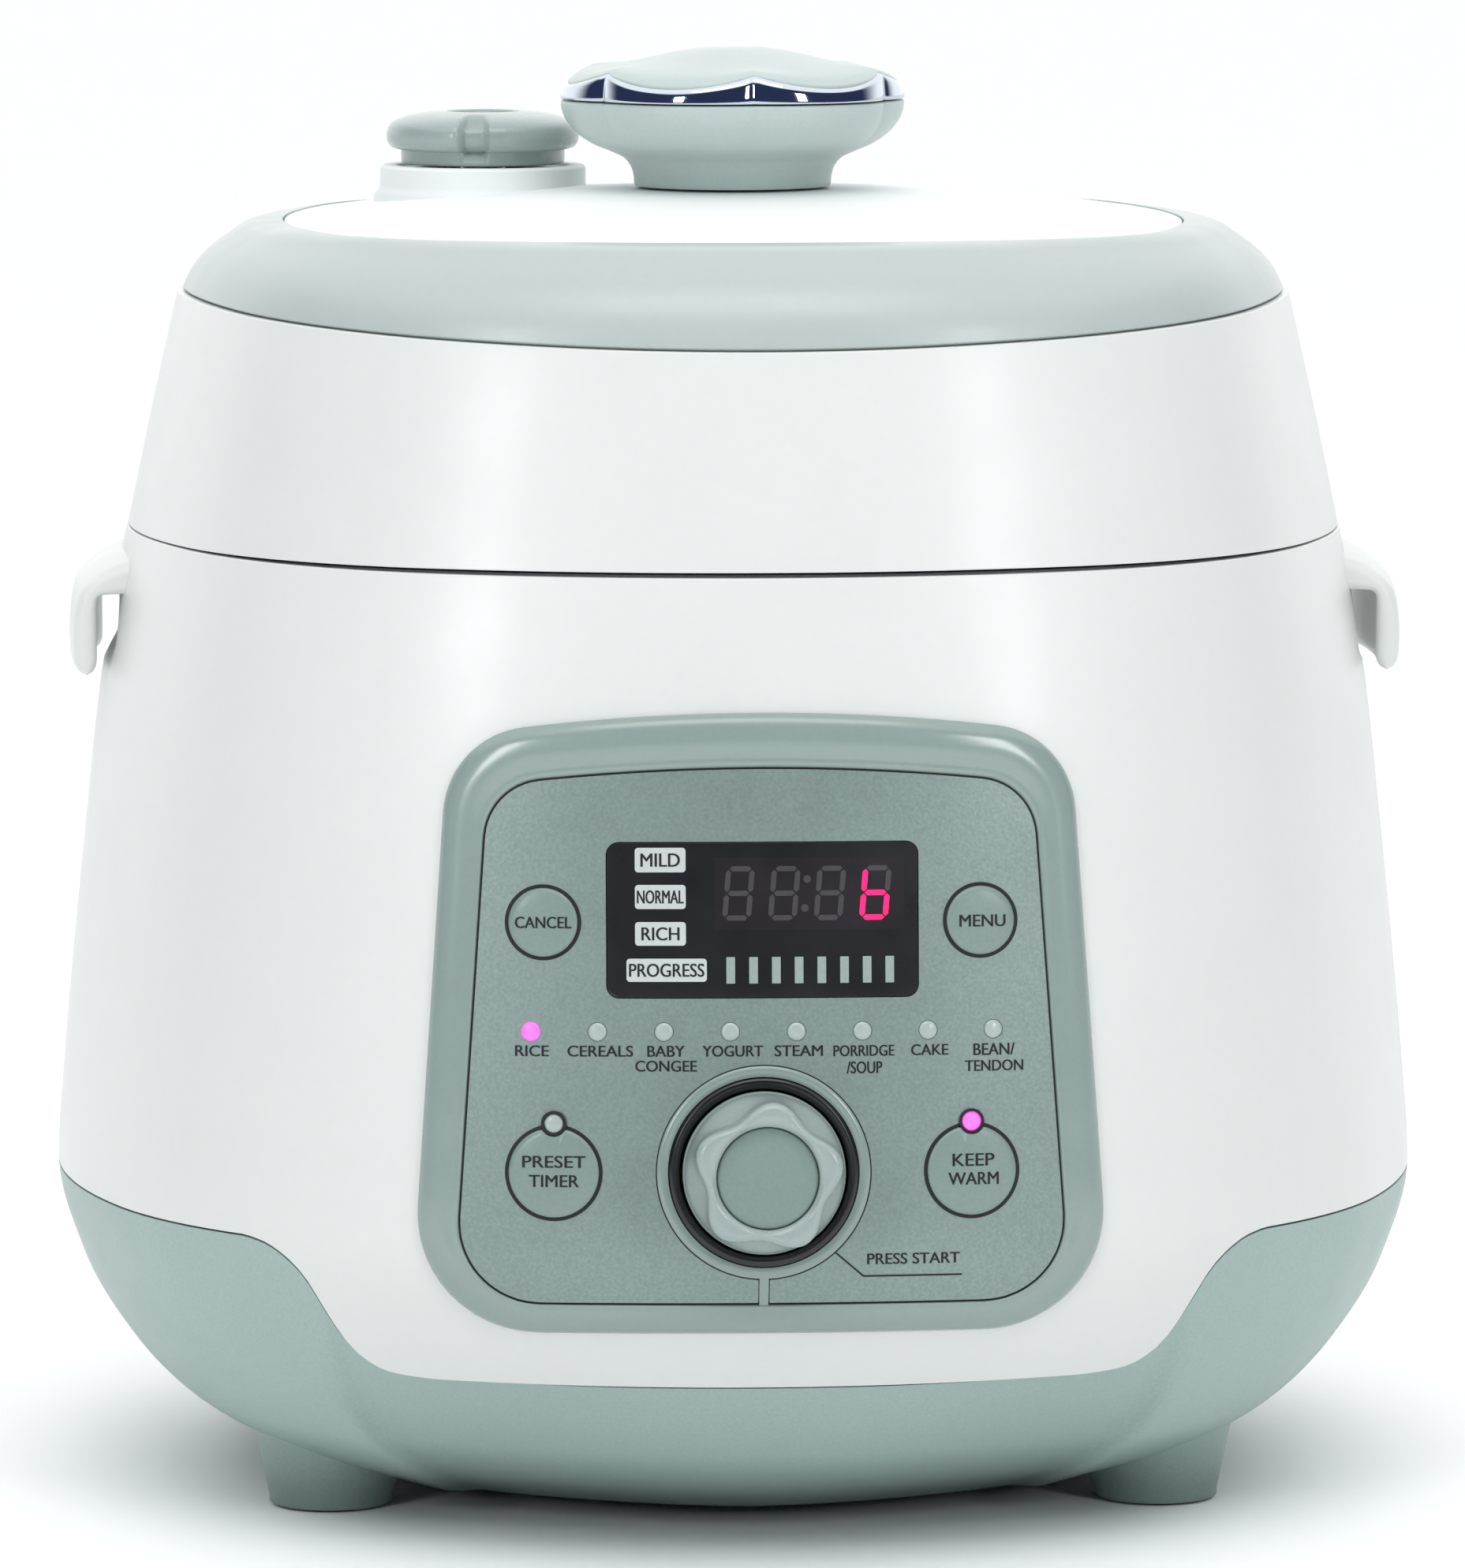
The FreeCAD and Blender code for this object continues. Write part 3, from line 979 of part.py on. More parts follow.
bracket_body = cross_pad("bracket_body", "bracket_half", [
    ("arm_start", "bracket_low"), ("bracket_slope_back", "bracket_low"),
    ("bracket_back", "bracket_slope_high"), ("bracket_back", "bracket_high"),
    ("arm_start", "bracket_high")])
bracket_pieces = [cut("bracket_trim", bracket_body, [form_outer])]
KNUCKLES = (("left", "-knuckle_end", "-knuckle_start"), ("right", "knuckle_start", "knuckle_end"))
for side, low, high in KNUCKLES:
    bracket_pieces.append(cross_bar(side + "_barrel", "barrel_radius", low, high))
    web = box(side + "_web", (low, high), ("hinge_y - barrel_radius", "bracket_back"),
              ("bracket_high - web_drop", "hinge_z"))
    bracket_pieces.append(web)
bracket_solid = fuse("bracket_solid", bracket_pieces)
bracket_bore = cross_bar("bracket_bore", "hinge_pin_radius", "-beyond", "beyond")
part(cut("bracket_cut", bracket_solid, [bracket_bore]), "hinge_bracket")


# ---------------------------------------------------------------- check and export

doc.recompute()
for thing in doc.Objects:
    if "Invalid" in thing.State or "Error" in thing.State:
        raise RuntimeError("%s failed: %s" % (thing.Label, thing.State))
for name in PART_NAMES:
    shape = doc.getObject(name).Shape
    if shape.isNull() or not shape.isValid() or not shape.Solids:
        raise RuntimeError(doc.getObject(name).Label + " has no valid solid")
os.makedirs("parts", exist_ok=True)
for name in PART_NAMES:
    thing = doc.getObject(name)
    thing.Shape.exportStep("parts/%s.step" % thing.Label)
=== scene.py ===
import json
import math

import bmesh
import bpy
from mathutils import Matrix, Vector, geometry


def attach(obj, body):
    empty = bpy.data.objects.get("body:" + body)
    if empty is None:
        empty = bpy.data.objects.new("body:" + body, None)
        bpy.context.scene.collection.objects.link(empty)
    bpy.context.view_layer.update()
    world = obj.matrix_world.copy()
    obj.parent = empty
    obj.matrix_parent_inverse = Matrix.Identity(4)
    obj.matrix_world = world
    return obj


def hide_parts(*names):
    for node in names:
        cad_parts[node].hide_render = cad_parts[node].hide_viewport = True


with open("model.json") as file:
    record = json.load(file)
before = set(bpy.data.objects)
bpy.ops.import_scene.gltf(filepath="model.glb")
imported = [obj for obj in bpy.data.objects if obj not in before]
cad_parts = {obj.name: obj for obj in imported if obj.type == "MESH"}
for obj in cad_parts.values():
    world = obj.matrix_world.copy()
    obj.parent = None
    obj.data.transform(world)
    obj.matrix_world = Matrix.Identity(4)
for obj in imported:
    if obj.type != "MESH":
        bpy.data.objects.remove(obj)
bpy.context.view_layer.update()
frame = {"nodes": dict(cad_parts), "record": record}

# Lengths are millimetres up to the moment a mesh is made. Fronts face -Y and +Z is up.
MM = 0.001
COLUMNS = 480
WALL = 2.5
BODY = "cooker_body"

# Plans: the long arcs' radius for a half-width of 1, and how far behind the middle their centre lies.
SIDE_ARC = 1.35
SIDE_CENTRE = 0.35

PANEL_Y = -149
PANEL_Z = 86.2
SKIRT_FOOT = 209.6
SKIRT_RISE = 51.2
RING_FOOT = 260.8
RING_TOP = 274.0
RING_TOP_HALF = 109.5
COVER_HALF = 98.8
COVER_FOOT = 272.6
BASE_FLOOR = 3.6
LEG_X = 90
LEG_Y = 57


# ---------------- curves and plans

def ease(t):
    """0 below 0, 1 above 1, smooth between."""
    t = min(1.0, max(0.0, t))
    return t * t * (3 - 2 * t)


def mix(a, b, t):
    return a + (b - a) * t


def curve(points):
    """A smooth function through (place, size) pairs that never overshoots them."""
    places = [p for p, _ in points]
    sizes = [s for _, s in points]
    steps = [b - a for a, b in zip(places, places[1:])]
    slopes = [(b - a) / d for a, b, d in zip(sizes, sizes[1:], steps)]
    leans = [slopes[0]]
    for before, after, d0, d1 in zip(slopes, slopes[1:], steps, steps[1:]):
        if before * after <= 0:
            leans.append(0.0)
        else:
            w0, w1 = 2 * d1 + d0, d1 + 2 * d0
            leans.append((w0 + w1) / (w0 / before + w1 / after))
    leans.append(slopes[-1])

    def read(x):
        if x <= places[0]:
            return sizes[0] + leans[0] * (x - places[0])
        if x >= places[-1]:
            return sizes[-1] + leans[-1] * (x - places[-1])
        i = next(k for k in range(len(steps)) if x <= places[k + 1])
        d, t = steps[i], (x - places[i]) / steps[i]
        return (sizes[i] * (1 + 2 * t) * (1 - t) ** 2 + leans[i] * d * t * (1 - t) ** 2
                + sizes[i + 1] * t * t * (3 - 2 * t) + leans[i + 1] * d * t * t * (t - 1))
    return read


def flowing(points, count):
    """count points along a smooth line through the given ones."""
    spots = [Vector(p) for p in points]
    spots = [2 * spots[0] - spots[1]] + spots + [2 * spots[-1] - spots[-2]]
    spans = len(spots) - 3
    found = []
    for k in range(count):
        s = k * spans / (count - 1)
        i = min(int(s), spans - 1)
        t = s - i
        a, b, c, d = spots[i:i + 4]
        found.append(0.5 * (2 * b + (c - a) * t + (2 * a - 5 * b + 4 * c - d) * t * t
                            + (3 * b - a - 3 * c + d) * t ** 3))
    return found


def plan(side, corner):
    """Radius in each column for a half-width of 1: long arcs on the sides, short ones at the corners."""
    back = side - 1
    middle = (-2 * back + math.sqrt(4 * back ** 2 - 8 * (back ** 2 - (side - corner) ** 2))) / 4
    sweep = math.atan2(middle, middle + back)
    limit = math.atan2(side * math.sin(sweep), side * math.cos(sweep) - back)
    radii = []
    for k in range(COLUMNS):
        turn = (k * 2 * math.pi / COLUMNS) % (math.pi / 2)
        turn = min(turn, math.pi / 2 - turn)
        c, s = math.cos(turn), math.sin(turn)
        if turn <= limit:
            radii.append(-back * c + math.sqrt(side ** 2 - (back * s) ** 2))
        else:
            radii.append(middle * (c + s) + math.sqrt(corner ** 2 - (middle * (s - c)) ** 2))
    return radii


TURNS = [(math.cos(k * 2 * math.pi / COLUMNS), math.sin(k * 2 * math.pi / COLUMNS)) for k in range(COLUMNS)]
BODY_PLAN = plan(SIDE_ARC, 0.72)
COVER_PLAN = plan(1.9, 0.5)

body_half = curve([(5, 90), (13, 111.5), (21, 124.4), (33, 135.4), (49, 144.6), (69, 149.9), (93, 148.3),
                   (119, 145.9), (145, 143.2), (169, 140.6), (191, 137.4), (209.1, 133.8)])
trim_half = curve([(250, 123.8), (255, 122.6), (RING_FOOT, 121.3), (265.2, 119.3), (269.0, 116.2),
                   (RING_TOP, RING_TOP_HALF)])


def lid_half(z):
    along = (z - SKIRT_FOOT) / SKIRT_RISE
    return 133.5 - 11.2 * along + 0.8 * along * (1 - along)


def column(k, half, z, radii=BODY_PLAN):
    r = half * radii[k]
    return Vector((r * TURNS[k][0], r * TURNS[k][1], z))


def course(half, heights, sunk=0.0):
    """A row round the object, at a height for each column, sunk below the surface that half gives."""
    return [column(k, half(z) - sunk, z) for k, z in enumerate(heights)]


# Height of the line between the white and the grey shell, by distance from the middle.
parting = curve([(0, 39.0), (66, 39.0), (73, 39.4), (78, 40.2), (82, 42.2), (85, 44.6), (88, 48.4),
                 (91, 53.2), (94, 58.4), (97, 62.3), (100.5, 65.3), (104, 67.2), (109, 68.2), (170, 68.2)])


def parting_height(k):
    """Where that line crosses a column; the column's own x depends on the height, so it is closed in on."""
    z = 50.0
    for _ in range(60):
        z = 0.6 * z + 0.4 * parting(abs(column(k, body_half(z), z).x))
    return z


PARTING = [parting_height(k) for k in range(COLUMNS)]


# ---------------- meshes

def placed(name, data):
    """A new object in the scene."""
    obj = bpy.data.objects.new(name, data)
    bpy.context.scene.collection.objects.link(obj)
    return obj


def round_edges(obj, width, segments, sharp):
    edges = obj.modifiers.new("edges", "BEVEL")
    edges.width = width * MM
    edges.segments = segments
    edges.limit_method = "ANGLE"
    edges.angle_limit = math.radians(sharp)


def finish_mesh(obj, bevel, segments, sharp):
    """Smooth shading, with the edges rounded and baked into the mesh where bevel gives a width."""
    obj.data.shade_smooth()
    if bevel:
        round_edges(obj, bevel, segments, sharp)
        evened = obj.modifiers.new("normals", "WEIGHTED_NORMAL")
        evened.keep_sharp = True
        baked = bpy.data.meshes.new_from_object(obj.evaluated_get(bpy.context.evaluated_depsgraph_get()))
        obj.modifiers.clear()
        obj.data = baked
    else:
        obj.data.set_sharp_from_angle(angle=math.radians(sharp))


def piece(name, made, material, body, stands_for=(), bevel=0.0, segments=3, sharp=40.0):
    """Makes a visible piece that rides on a body. made is (points, faces)."""
    points, faces = made
    mesh = bpy.data.meshes.new(name)
    mesh.from_pydata([p * MM for p in points], [], faces)
    work = bmesh.new()
    work.from_mesh(mesh)
    bmesh.ops.remove_doubles(work, verts=work.verts, dist=0.002 * MM)
    bmesh.ops.recalc_face_normals(work, faces=work.faces)
    work.to_mesh(mesh)
    work.free()
    obj = placed(name, mesh)
    finish_mesh(obj, bevel, segments, sharp)
    obj.data.materials.clear()
    obj.data.materials.append(material)
    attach(obj, body)
    if stands_for:
        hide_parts(*stands_for)
    return obj


def joined(*parts):
    points, faces = [], []
    for more_points, more_faces in parts:
        start = len(points)
        points += more_points
        faces += [tuple(start + i for i in face) for face in more_faces]
    return points, faces


def shell(outer, inner, keep=None, cap=False):
    """A closed sheet between two grids of points. Columns go round; keep(row, column) leaves cells out."""
    rows, count = len(outer), len(outer[0])
    points = [p for row in outer for p in row] + [p for row in inner for p in row]
    half = rows * count
    there = [[keep is None or keep(r, k) for k in range(count)] for r in range(rows - 1)]
    faces = []

    def at(layer, r, k):
        return layer * half + r * count + k % count

    for r in range(rows - 1):
        for k in range(count):
            if not there[r][k]:
                continue
            faces.append((at(0, r, k), at(0, r, k + 1), at(0, r + 1, k + 1), at(0, r + 1, k)))
            faces.append((at(1, r, k), at(1, r + 1, k), at(1, r + 1, k + 1), at(1, r, k + 1)))
            last = r == rows - 2
            if r == 0 or not there[r - 1][k]:
                faces.append((at(0, r, k), at(1, r, k), at(1, r, k + 1), at(0, r, k + 1)))
            if (last and not cap) or (not last and not there[r + 1][k]):
                faces.append((at(0, r + 1, k), at(0, r + 1, k + 1), at(1, r + 1, k + 1), at(1, r + 1, k)))
            if not there[r][k - 1]:
                faces.append((at(0, r, k), at(0, r + 1, k), at(1, r + 1, k), at(1, r, k)))
            if not there[r][(k + 1) % count]:
                faces.append((at(0, r, k + 1), at(1, r, k + 1), at(1, r + 1, k + 1), at(0, r + 1, k + 1)))
    if cap:
        faces.append(tuple(at(0, rows - 1, k) for k in range(count)))
        faces.append(tuple(at(1, rows - 1, k) for k in reversed(range(count))))
    return points, faces


def lathe(profile, count=96, warp=None, put=None, loop=False):
    """A turned solid from (radius, height) pairs. warp bends it by angle, put says where a point goes."""
    rows = []
    for radius, height in profile:
        row = []
        for k in range(count):
            angle = 2 * math.pi * k / count
            r, z = warp(radius, height, angle) if warp else (radius, height)
            spot = Vector((r * math.cos(angle), r * math.sin(angle), z))
            row.append(put(spot) if put else spot)
        rows.append(row)
    return skin(rows, loop)


def skin(rows, loop=False):
    """Faces over rows of points that go round. Ends are closed unless the rows themselves go round."""
    count = len(rows[0])
    points = [p for row in rows for p in row]
    faces = []
    for r in range(len(rows) if loop else len(rows) - 1):
        for k in range(count):
            a, b = r * count + k, r * count + (k + 1) % count
            c, d = ((r + 1) % len(rows)) * count + (k + 1) % count, ((r + 1) % len(rows)) * count + k
            faces.append((a, b, c, d))
    if not loop:
        faces.append(tuple(range(count)))
        faces.append(tuple(range((len(rows) - 1) * count, len(rows) * count)))
    return points, faces


# ---------------- panel surface

TILT = math.radians(4.9)
PANEL_ORIGIN = Vector((0, PANEL_Y, PANEL_Z))
PANEL_UP = Vector((0, math.sin(TILT), math.cos(TILT)))
PANEL_OUT = Vector((0, -math.cos(TILT), math.sin(TILT)))


def panel_depth(x, v):
    """How far the body's surface lies out of the panel's flat plane."""
    s = 0.0
    for _ in range(5):
        half = body_half(PANEL_Z + v * math.cos(TILT) + s * math.sin(TILT))
        front = SIDE_CENTRE * half - math.sqrt((SIDE_ARC * half) ** 2 - x * x)
        s = (PANEL_Y + v * math.sin(TILT) - front) / math.cos(TILT)
    return s


def on_panel(x, v, lift):
    """A point lift above the body's surface, at x across and v up the panel from the dial."""
    return PANEL_ORIGIN + Vector((x, 0, 0)) + PANEL_UP * v + PANEL_OUT * (panel_depth(x, v) + lift)


def on_dial(spot):
    """Puts a lathe's points round the dial's axis, square to the flat plane."""
    return PANEL_ORIGIN + Vector((spot.x, 0, 0)) + PANEL_UP * spot.y + PANEL_OUT * spot.z


def around(x, v):
    """Puts a lathe's points on the panel round (x, v), following its curve."""
    return lambda spot: on_panel(x + spot.x, v + spot.y, spot.z)


def circle(x, v, radius, count=64):
    return [(x + radius * math.cos(2 * math.pi * k / count), v + radius * math.sin(2 * math.pi * k / count))
            for k in range(count)]


def rectangle(x0, v0, x1, v1, radius, steps=6):
    spots = []
    for cx, cv, start in ((x1 - radius, v0 + radius, 270), (x1 - radius, v1 - radius, 0),
                          (x0 + radius, v1 - radius, 90), (x0 + radius, v0 + radius, 180)):
        for k in range(steps + 1):
            turn = math.radians(start + 90 * k / steps)
            spots.append((cx + radius * math.cos(turn), cv + radius * math.sin(turn)))
    return spots


def resampled(spots, count):
    """count points spaced evenly round a closed outline."""
    loop = spots + [spots[0]]
    gaps = [math.dist(a, b) for a, b in zip(loop, loop[1:])]
    total = sum(gaps)
    found, i, passed = [], 0, 0.0
    for k in range(count):
        target = total * k / count
        while passed + gaps[i] < target:
            passed += gaps[i]
            i += 1
        t = (target - passed) / gaps[i]
        found.append((mix(loop[i][0], loop[i + 1][0], t), mix(loop[i][1], loop[i + 1][1], t)))
    return found


def crowned(low, high, low_half, high_half, low_round, high_round, crown, count):
    """A rounded trapezoid with a bowed top, from its bottom middle round to the right."""
    height = high - low
    lean = (low_half - high_half) / height
    slant = math.hypot(1, lean)
    # Bottom corner: its centre is low_round above the bottom and low_round inside the slanted side.
    cv = low + low_round
    cx = low_half - lean * low_round - low_round * slant
    foot = math.atan2(lean, 1)
    right = [(0.0, low)]
    for k in range(13):
        turn = mix(-math.pi / 2, foot, k / 12)
        right.append((cx + low_round * math.cos(turn), cv + low_round * math.sin(turn)))
    # Top corner: inside both the side and the crown's circle.
    mid_v = high - math.sqrt(crown ** 2 - high_half ** 2)
    v = high - high_round
    for _ in range(40):
        x = low_half - lean * (v - low) - high_round * slant
        v = mid_v + math.sqrt((crown - high_round) ** 2 - x * x)
    top = math.atan2(v - mid_v, x)
    for k in range(13):
        turn = mix(foot, top, k / 12)
        right.append((x + high_round * math.cos(turn), v + high_round * math.sin(turn)))
    start = math.atan2(right[-1][1] - mid_v, right[-1][0])
    for k in range(1, 13):
        turn = mix(start, math.pi / 2, k / 12)
        right.append((crown * math.cos(turn), mid_v + crown * math.sin(turn)))
    left = [(-x, v) for x, v in reversed(right[1:-1])]
    return resampled(right + left, count)


def shrunk(spots, by):
    """An outline moved inwards; points run anticlockwise."""
    found = []
    for k, (x, v) in enumerate(spots):
        before, after = spots[k - 1], spots[(k + 1) % len(spots)]
        dx, dv = after[0] - before[0], after[1] - before[1]
        size = math.hypot(dx, dv)
        found.append((x - by * dv / size, v + by * dx / size))
    return found


def inside(spot, loop):
    x, v = spot
    within = False
    for (ax, av), (bx, bv) in zip(loop, loop[1:] + loop[:1]):
        if (av > v) != (bv > v) and x < ax + (v - av) * (bx - ax) / (bv - av):
            within = not within
    return within


def refined(loop, gap=2.5):
    """The same outline with points added along its long sides."""
    found = []
    for (ax, av), (bx, bv) in zip(loop, loop[1:] + loop[:1]):
        count = max(1, math.ceil(math.dist((ax, av), (bx, bv)) / gap))
        found += [(mix(ax, bx, k / count), mix(av, bv, k / count)) for k in range(count)]
    return found


def panel_sheet(outline, lift, thick, holes=(), step=4.0):
    """A plate that follows the panel, with holes through it."""
    loops = [refined(loop) for loop in [outline] + list(holes)]
    spots, edges = [], []
    for loop in loops:
        start = len(spots)
        spots += loop
        edges += [(start + k, start + (k + 1) % len(loop)) for k in range(len(loop))]
    xs, vs = [x for x, _ in outline], [v for _, v in outline]
    border = list(spots)
    for a in range(int((max(xs) - min(xs)) / step) + 1):
        for b in range(int((max(vs) - min(vs)) / step) + 1):
            spot = (min(xs) + (a + 0.5) * step, min(vs) + (b + 0.5) * step)
            if min(math.dist(spot, near) for near in border) > 0.45 * step:
                spots.append(spot)
    flat = geometry.delaunay_2d_cdt([Vector(s) for s in spots], edges, [], 0, 1e-5)
    triangles = []
    for face in flat[2]:
        middle = tuple(sum(flat[0][i][j] for i in face) / 3 for j in (0, 1))
        if inside(middle, outline) and not any(inside(middle, hole) for hole in holes):
            triangles.append(tuple(face))
    used = sorted({i for face in triangles for i in face})
    place = {i: n for n, i in enumerate(used)}
    top = [on_panel(flat[0][i][0], flat[0][i][1], lift) for i in used]
    low = [on_panel(flat[0][i][0], flat[0][i][1], lift - thick) for i in used]
    size = len(used)
    faces = [tuple(place[i] for i in face) for face in triangles]
    sides = {}
    for a, b, c in faces:
        for edge in ((a, b), (b, c), (c, a)):
            sides[edge] = sides.get(edge, 0) + 1
    walls = [(b, a, a + size, b + size) for a, b in sides if (b, a) not in sides]
    under = [(c + size, b + size, a + size) for a, b, c in faces]
    return top + low, faces + under + walls


BOLD = 0.07
PRINT_LIFT = 1.26


def lettering(words, lift=PRINT_LIFT):
    """Printed words: each is (text, x, v, width, height), x and v its middle on the panel."""
    parts = []
    for text, x, v, width, height in words:
        font = bpy.data.curves.new("word", "FONT")
        font.body = text
        font.resolution_u = 4
        holder = placed("word", font)
        bpy.context.view_layer.update()
        mesh = bpy.data.meshes.new_from_object(
            holder.evaluated_get(bpy.context.evaluated_depsgraph_get()))
        spots = [p.co.copy() for p in mesh.vertices]
        x0, x1 = min(p.x for p in spots), max(p.x for p in spots)
        y0, y1 = min(p.y for p in spots), max(p.y for p in spots)
        # Two printings a hair apart thicken the strokes.
        for shift in (-BOLD, BOLD):
            points = []
            for p in spots:
                across, up = (p.x - x0) / (x1 - x0) - 0.5, (p.y - y0) / (y1 - y0) - 0.5
                points.append(on_panel(x + shift + across * (width - 2 * BOLD), v + up * height,
                                       lift + 0.05 * shift))
            parts.append((points, [tuple(face.vertices) for face in mesh.polygons]))
        bpy.data.objects.remove(holder)
        bpy.data.curves.remove(font)
        bpy.data.meshes.remove(mesh)
    return joined(*parts)


# ---------------- materials

def linear(r, g, b):
    """A display colour, 0 to 255, as the shader's own numbers."""
    shares = (c / 255 / 12.92 if c < 10.3 else ((c / 255 + 0.055) / 1.055) ** 2.4 for c in (r, g, b))
    return tuple(shares) + (1.0,)


def added(nodes, kind, **settings):
    """A new shader node. Each setting names an input, with _ for its space."""
    node = nodes.new("ShaderNode" + kind)
    for name, value in settings.items():
        node.inputs[name.replace("_", " ")].default_value = value
    return node


LOOKS = {}


def surface(name, colour, rough, metallic=0.0, coat=0.0, grain=900.0, bump=0.02, speckle=0.06, cloud=0.03,
            smear=0.05, stretch=(1.0, 1.0, 1.0), glow=None, glow_power=0.0, painted_low_shade=1.0):
    """A moulded or metal surface: cloudy and speckled colour, uneven gloss and a fine raised grain, and, if
    asked, painted shade that darkens it near the floor.
    """
    made = bpy.data.materials.new(name)
    made.use_nodes = True
    nodes, links = made.node_tree.nodes, made.node_tree.links
    shader = nodes["Principled BSDF"]
    shader.inputs["Metallic"].default_value = metallic
    shader.inputs["Coat Weight"].default_value = coat
    shader.inputs["Coat Roughness"].default_value = 0.13
    place = added(nodes, "TexCoord")
    warp = added(nodes, "Mapping", Scale=stretch)
    links.new(place.outputs["Object"], warp.inputs["Vector"])

    def noise(scale, detail):
        node = added(nodes, "TexNoise", Scale=scale, Detail=detail)
        links.new(warp.outputs["Vector"], node.inputs["Vector"])
        return node.outputs["Fac"]

    def ranged(value, low, high):
        node = added(nodes, "MapRange", From_Min=0.3, From_Max=0.7, To_Min=low, To_Max=high)
        links.new(value, node.inputs["Value"])
        return node.outputs["Result"]

    fine = noise(grain, 2.0)
    broad = noise(14.0, 3.0)
    both = added(nodes, "Math")
    both.operation = "MULTIPLY"
    links.new(ranged(fine, 1 - speckle, 1 + speckle), both.inputs[0])
    links.new(ranged(broad, 1 - cloud, 1 + cloud), both.inputs[1])
    tint = added(nodes, "VectorMath")
    tint.operation = "SCALE"
    tint.inputs[0].default_value = linear(*colour)[:3]
    shade = both.outputs[0]
    if painted_low_shade < 1.0:
        # Painted shade: darker below 22 mm, and darkest from 4 mm down, for the shadow low on the base and
        # its legs.
        split = added(nodes, "SeparateXYZ")
        low = added(nodes, "MapRange", From_Min=0.004, From_Max=0.022, To_Min=painted_low_shade)
        darker = added(nodes, "Math")
        darker.operation = "MULTIPLY"
        links.new(place.outputs["Object"], split.inputs["Vector"])
        links.new(split.outputs["Z"], low.inputs["Value"])
        links.new(shade, darker.inputs[0])
        links.new(low.outputs["Result"], darker.inputs[1])
        shade = darker.outputs[0]
    links.new(shade, tint.inputs["Scale"])
    links.new(tint.outputs["Vector"], shader.inputs["Base Color"])
    links.new(ranged(noise(60.0, 4.0), rough - smear, rough + smear), shader.inputs["Roughness"])
    raised = added(nodes, "Bump", Strength=bump, Distance=0.0002)
    links.new(fine, raised.inputs["Height"])
    links.new(raised.outputs["Normal"], shader.inputs["Normal"])
    if glow:
        shader.inputs["Emission Color"].default_value = linear(*glow)
        shader.inputs["Emission Strength"].default_value = glow_power
    LOOKS[name] = made
    return made


WHITE = surface("white_gloss", (221, 225, 222), 0.36, coat=0.12, grain=420.0, speckle=0.006, cloud=0.012)
# The grey base: painted shade darkens it near the floor.
BASE = surface("base_grey", (158, 180, 175), 0.42, grain=1500.0, bump=0.22, speckle=0.05, cloud=0.02,
               painted_low_shade=0.56)
# The lid's cover is the body's white plastic painted lighter: painted light on the lid's top.
COVER_WHITE_PAINTED_LIGHT = surface("cover_white", (238, 242, 241), 0.62, grain=420.0, speckle=0.006, cloud=0.008)
TRIM = surface("trim_grey", (181, 192, 189), 0.34, coat=0.12, grain=500.0, speckle=0.01, cloud=0.012)
KNOB = surface("knob_grey", (156, 171, 169), 0.26, coat=0.3, grain=1300.0, bump=0.08, speckle=0.03,
               cloud=0.02)
BEZEL = surface("bezel_grey", (139, 157, 152), 0.2, coat=0.5, bump=0.03, speckle=0.015, cloud=0.015)
SILVER = surface("panel_silver", (134, 152, 147), 0.38, metallic=0.35, grain=1400.0, bump=0.14,
                 speckle=0.10)
PALE = surface("knob_pale", (187, 201, 198), 0.36, coat=0.1, grain=1300.0, bump=0.03, speckle=0.02,
               cloud=0.015)
KEYS = surface("key_silver", (127, 147, 142), 0.34, coat=0.1, grain=1400.0, bump=0.08, speckle=0.04)
CHROME = surface("chrome_band", (205, 214, 222), 0.05, metallic=1.0, grain=300.0, bump=0.01,
                 speckle=0.01, smear=0.02)
RUBBER = surface("foot_rubber", (62, 64, 64), 0.75, grain=1600.0, bump=0.4, speckle=0.15)
BLACK = surface("black_gloss", (12, 16, 20), 0.3, coat=0.2, grain=600.0, bump=0.01, speckle=0.05)
# Printed ink; the same dark also paints the shade in the panel's gaps.
INK_AND_GAP_SHADE = surface("ink_and_gap_shade", (9, 12, 17), 0.6, bump=0.03, speckle=0.08)
LENS = surface("lens_clear", (170, 183, 179), 0.28, coat=0.3, grain=700.0, speckle=0.02)
LIT = surface("lens_lit", (255, 120, 220), 0.3, grain=700.0, glow=(255, 60, 190), glow_power=0.9)
TAGS = surface("display_tags", (196, 204, 202), 0.4, bump=0.03, speckle=0.02)
BARS = surface("display_bars", (150, 166, 162), 0.4, bump=0.03, speckle=0.04)
UNLIT = surface("digit_unlit", (62, 62, 66), 0.4, bump=0.03)
DIGIT = surface("digit_lit", (255, 20, 90), 0.4, glow=(255, 10, 85), glow_power=1.6)
INSET = surface("digit_inset", (26, 22, 27), 0.3, speckle=0.08)
surface("board_green", (40, 104, 66), 0.45, grain=700.0, bump=0.1, speckle=0.10)
surface("black_plastic", (36, 37, 40), 0.5, grain=1500.0, bump=0.25, speckle=0.10)
surface("deck_grey", (96, 101, 103), 0.42, grain=1500.0, bump=0.2)
STEEL = surface("brushed_steel", (196, 199, 201), 0.28, metallic=1.0, grain=60.0, bump=0.12,
                stretch=(1.0, 1.0, 30.0))
CAST = surface("cast_aluminium", (190, 192, 194), 0.42, metallic=0.9, grain=700.0, bump=0.3,
               speckle=0.08)
surface("pot_coating", (70, 72, 76), 0.36, metallic=0.4, grain=1400.0, bump=0.2, speckle=0.35)
surface("seal_silicone", (224, 226, 224), 0.5, bump=0.08, speckle=0.02)
surface("contact_brass", (208, 178, 110), 0.25, metallic=1.0, bump=0.06)

# Two of the record's slots have a look with another name.
LOOKS["steel"] = STEEL
LOOKS["plate_aluminium"] = CAST
for entry in frame["record"]["subparts"]:
    node = frame["nodes"][entry["node"]]
    node.data.materials.clear()
    node.data.materials.append(LOOKS[entry["material_slot"]])


# ---------------- white body shell

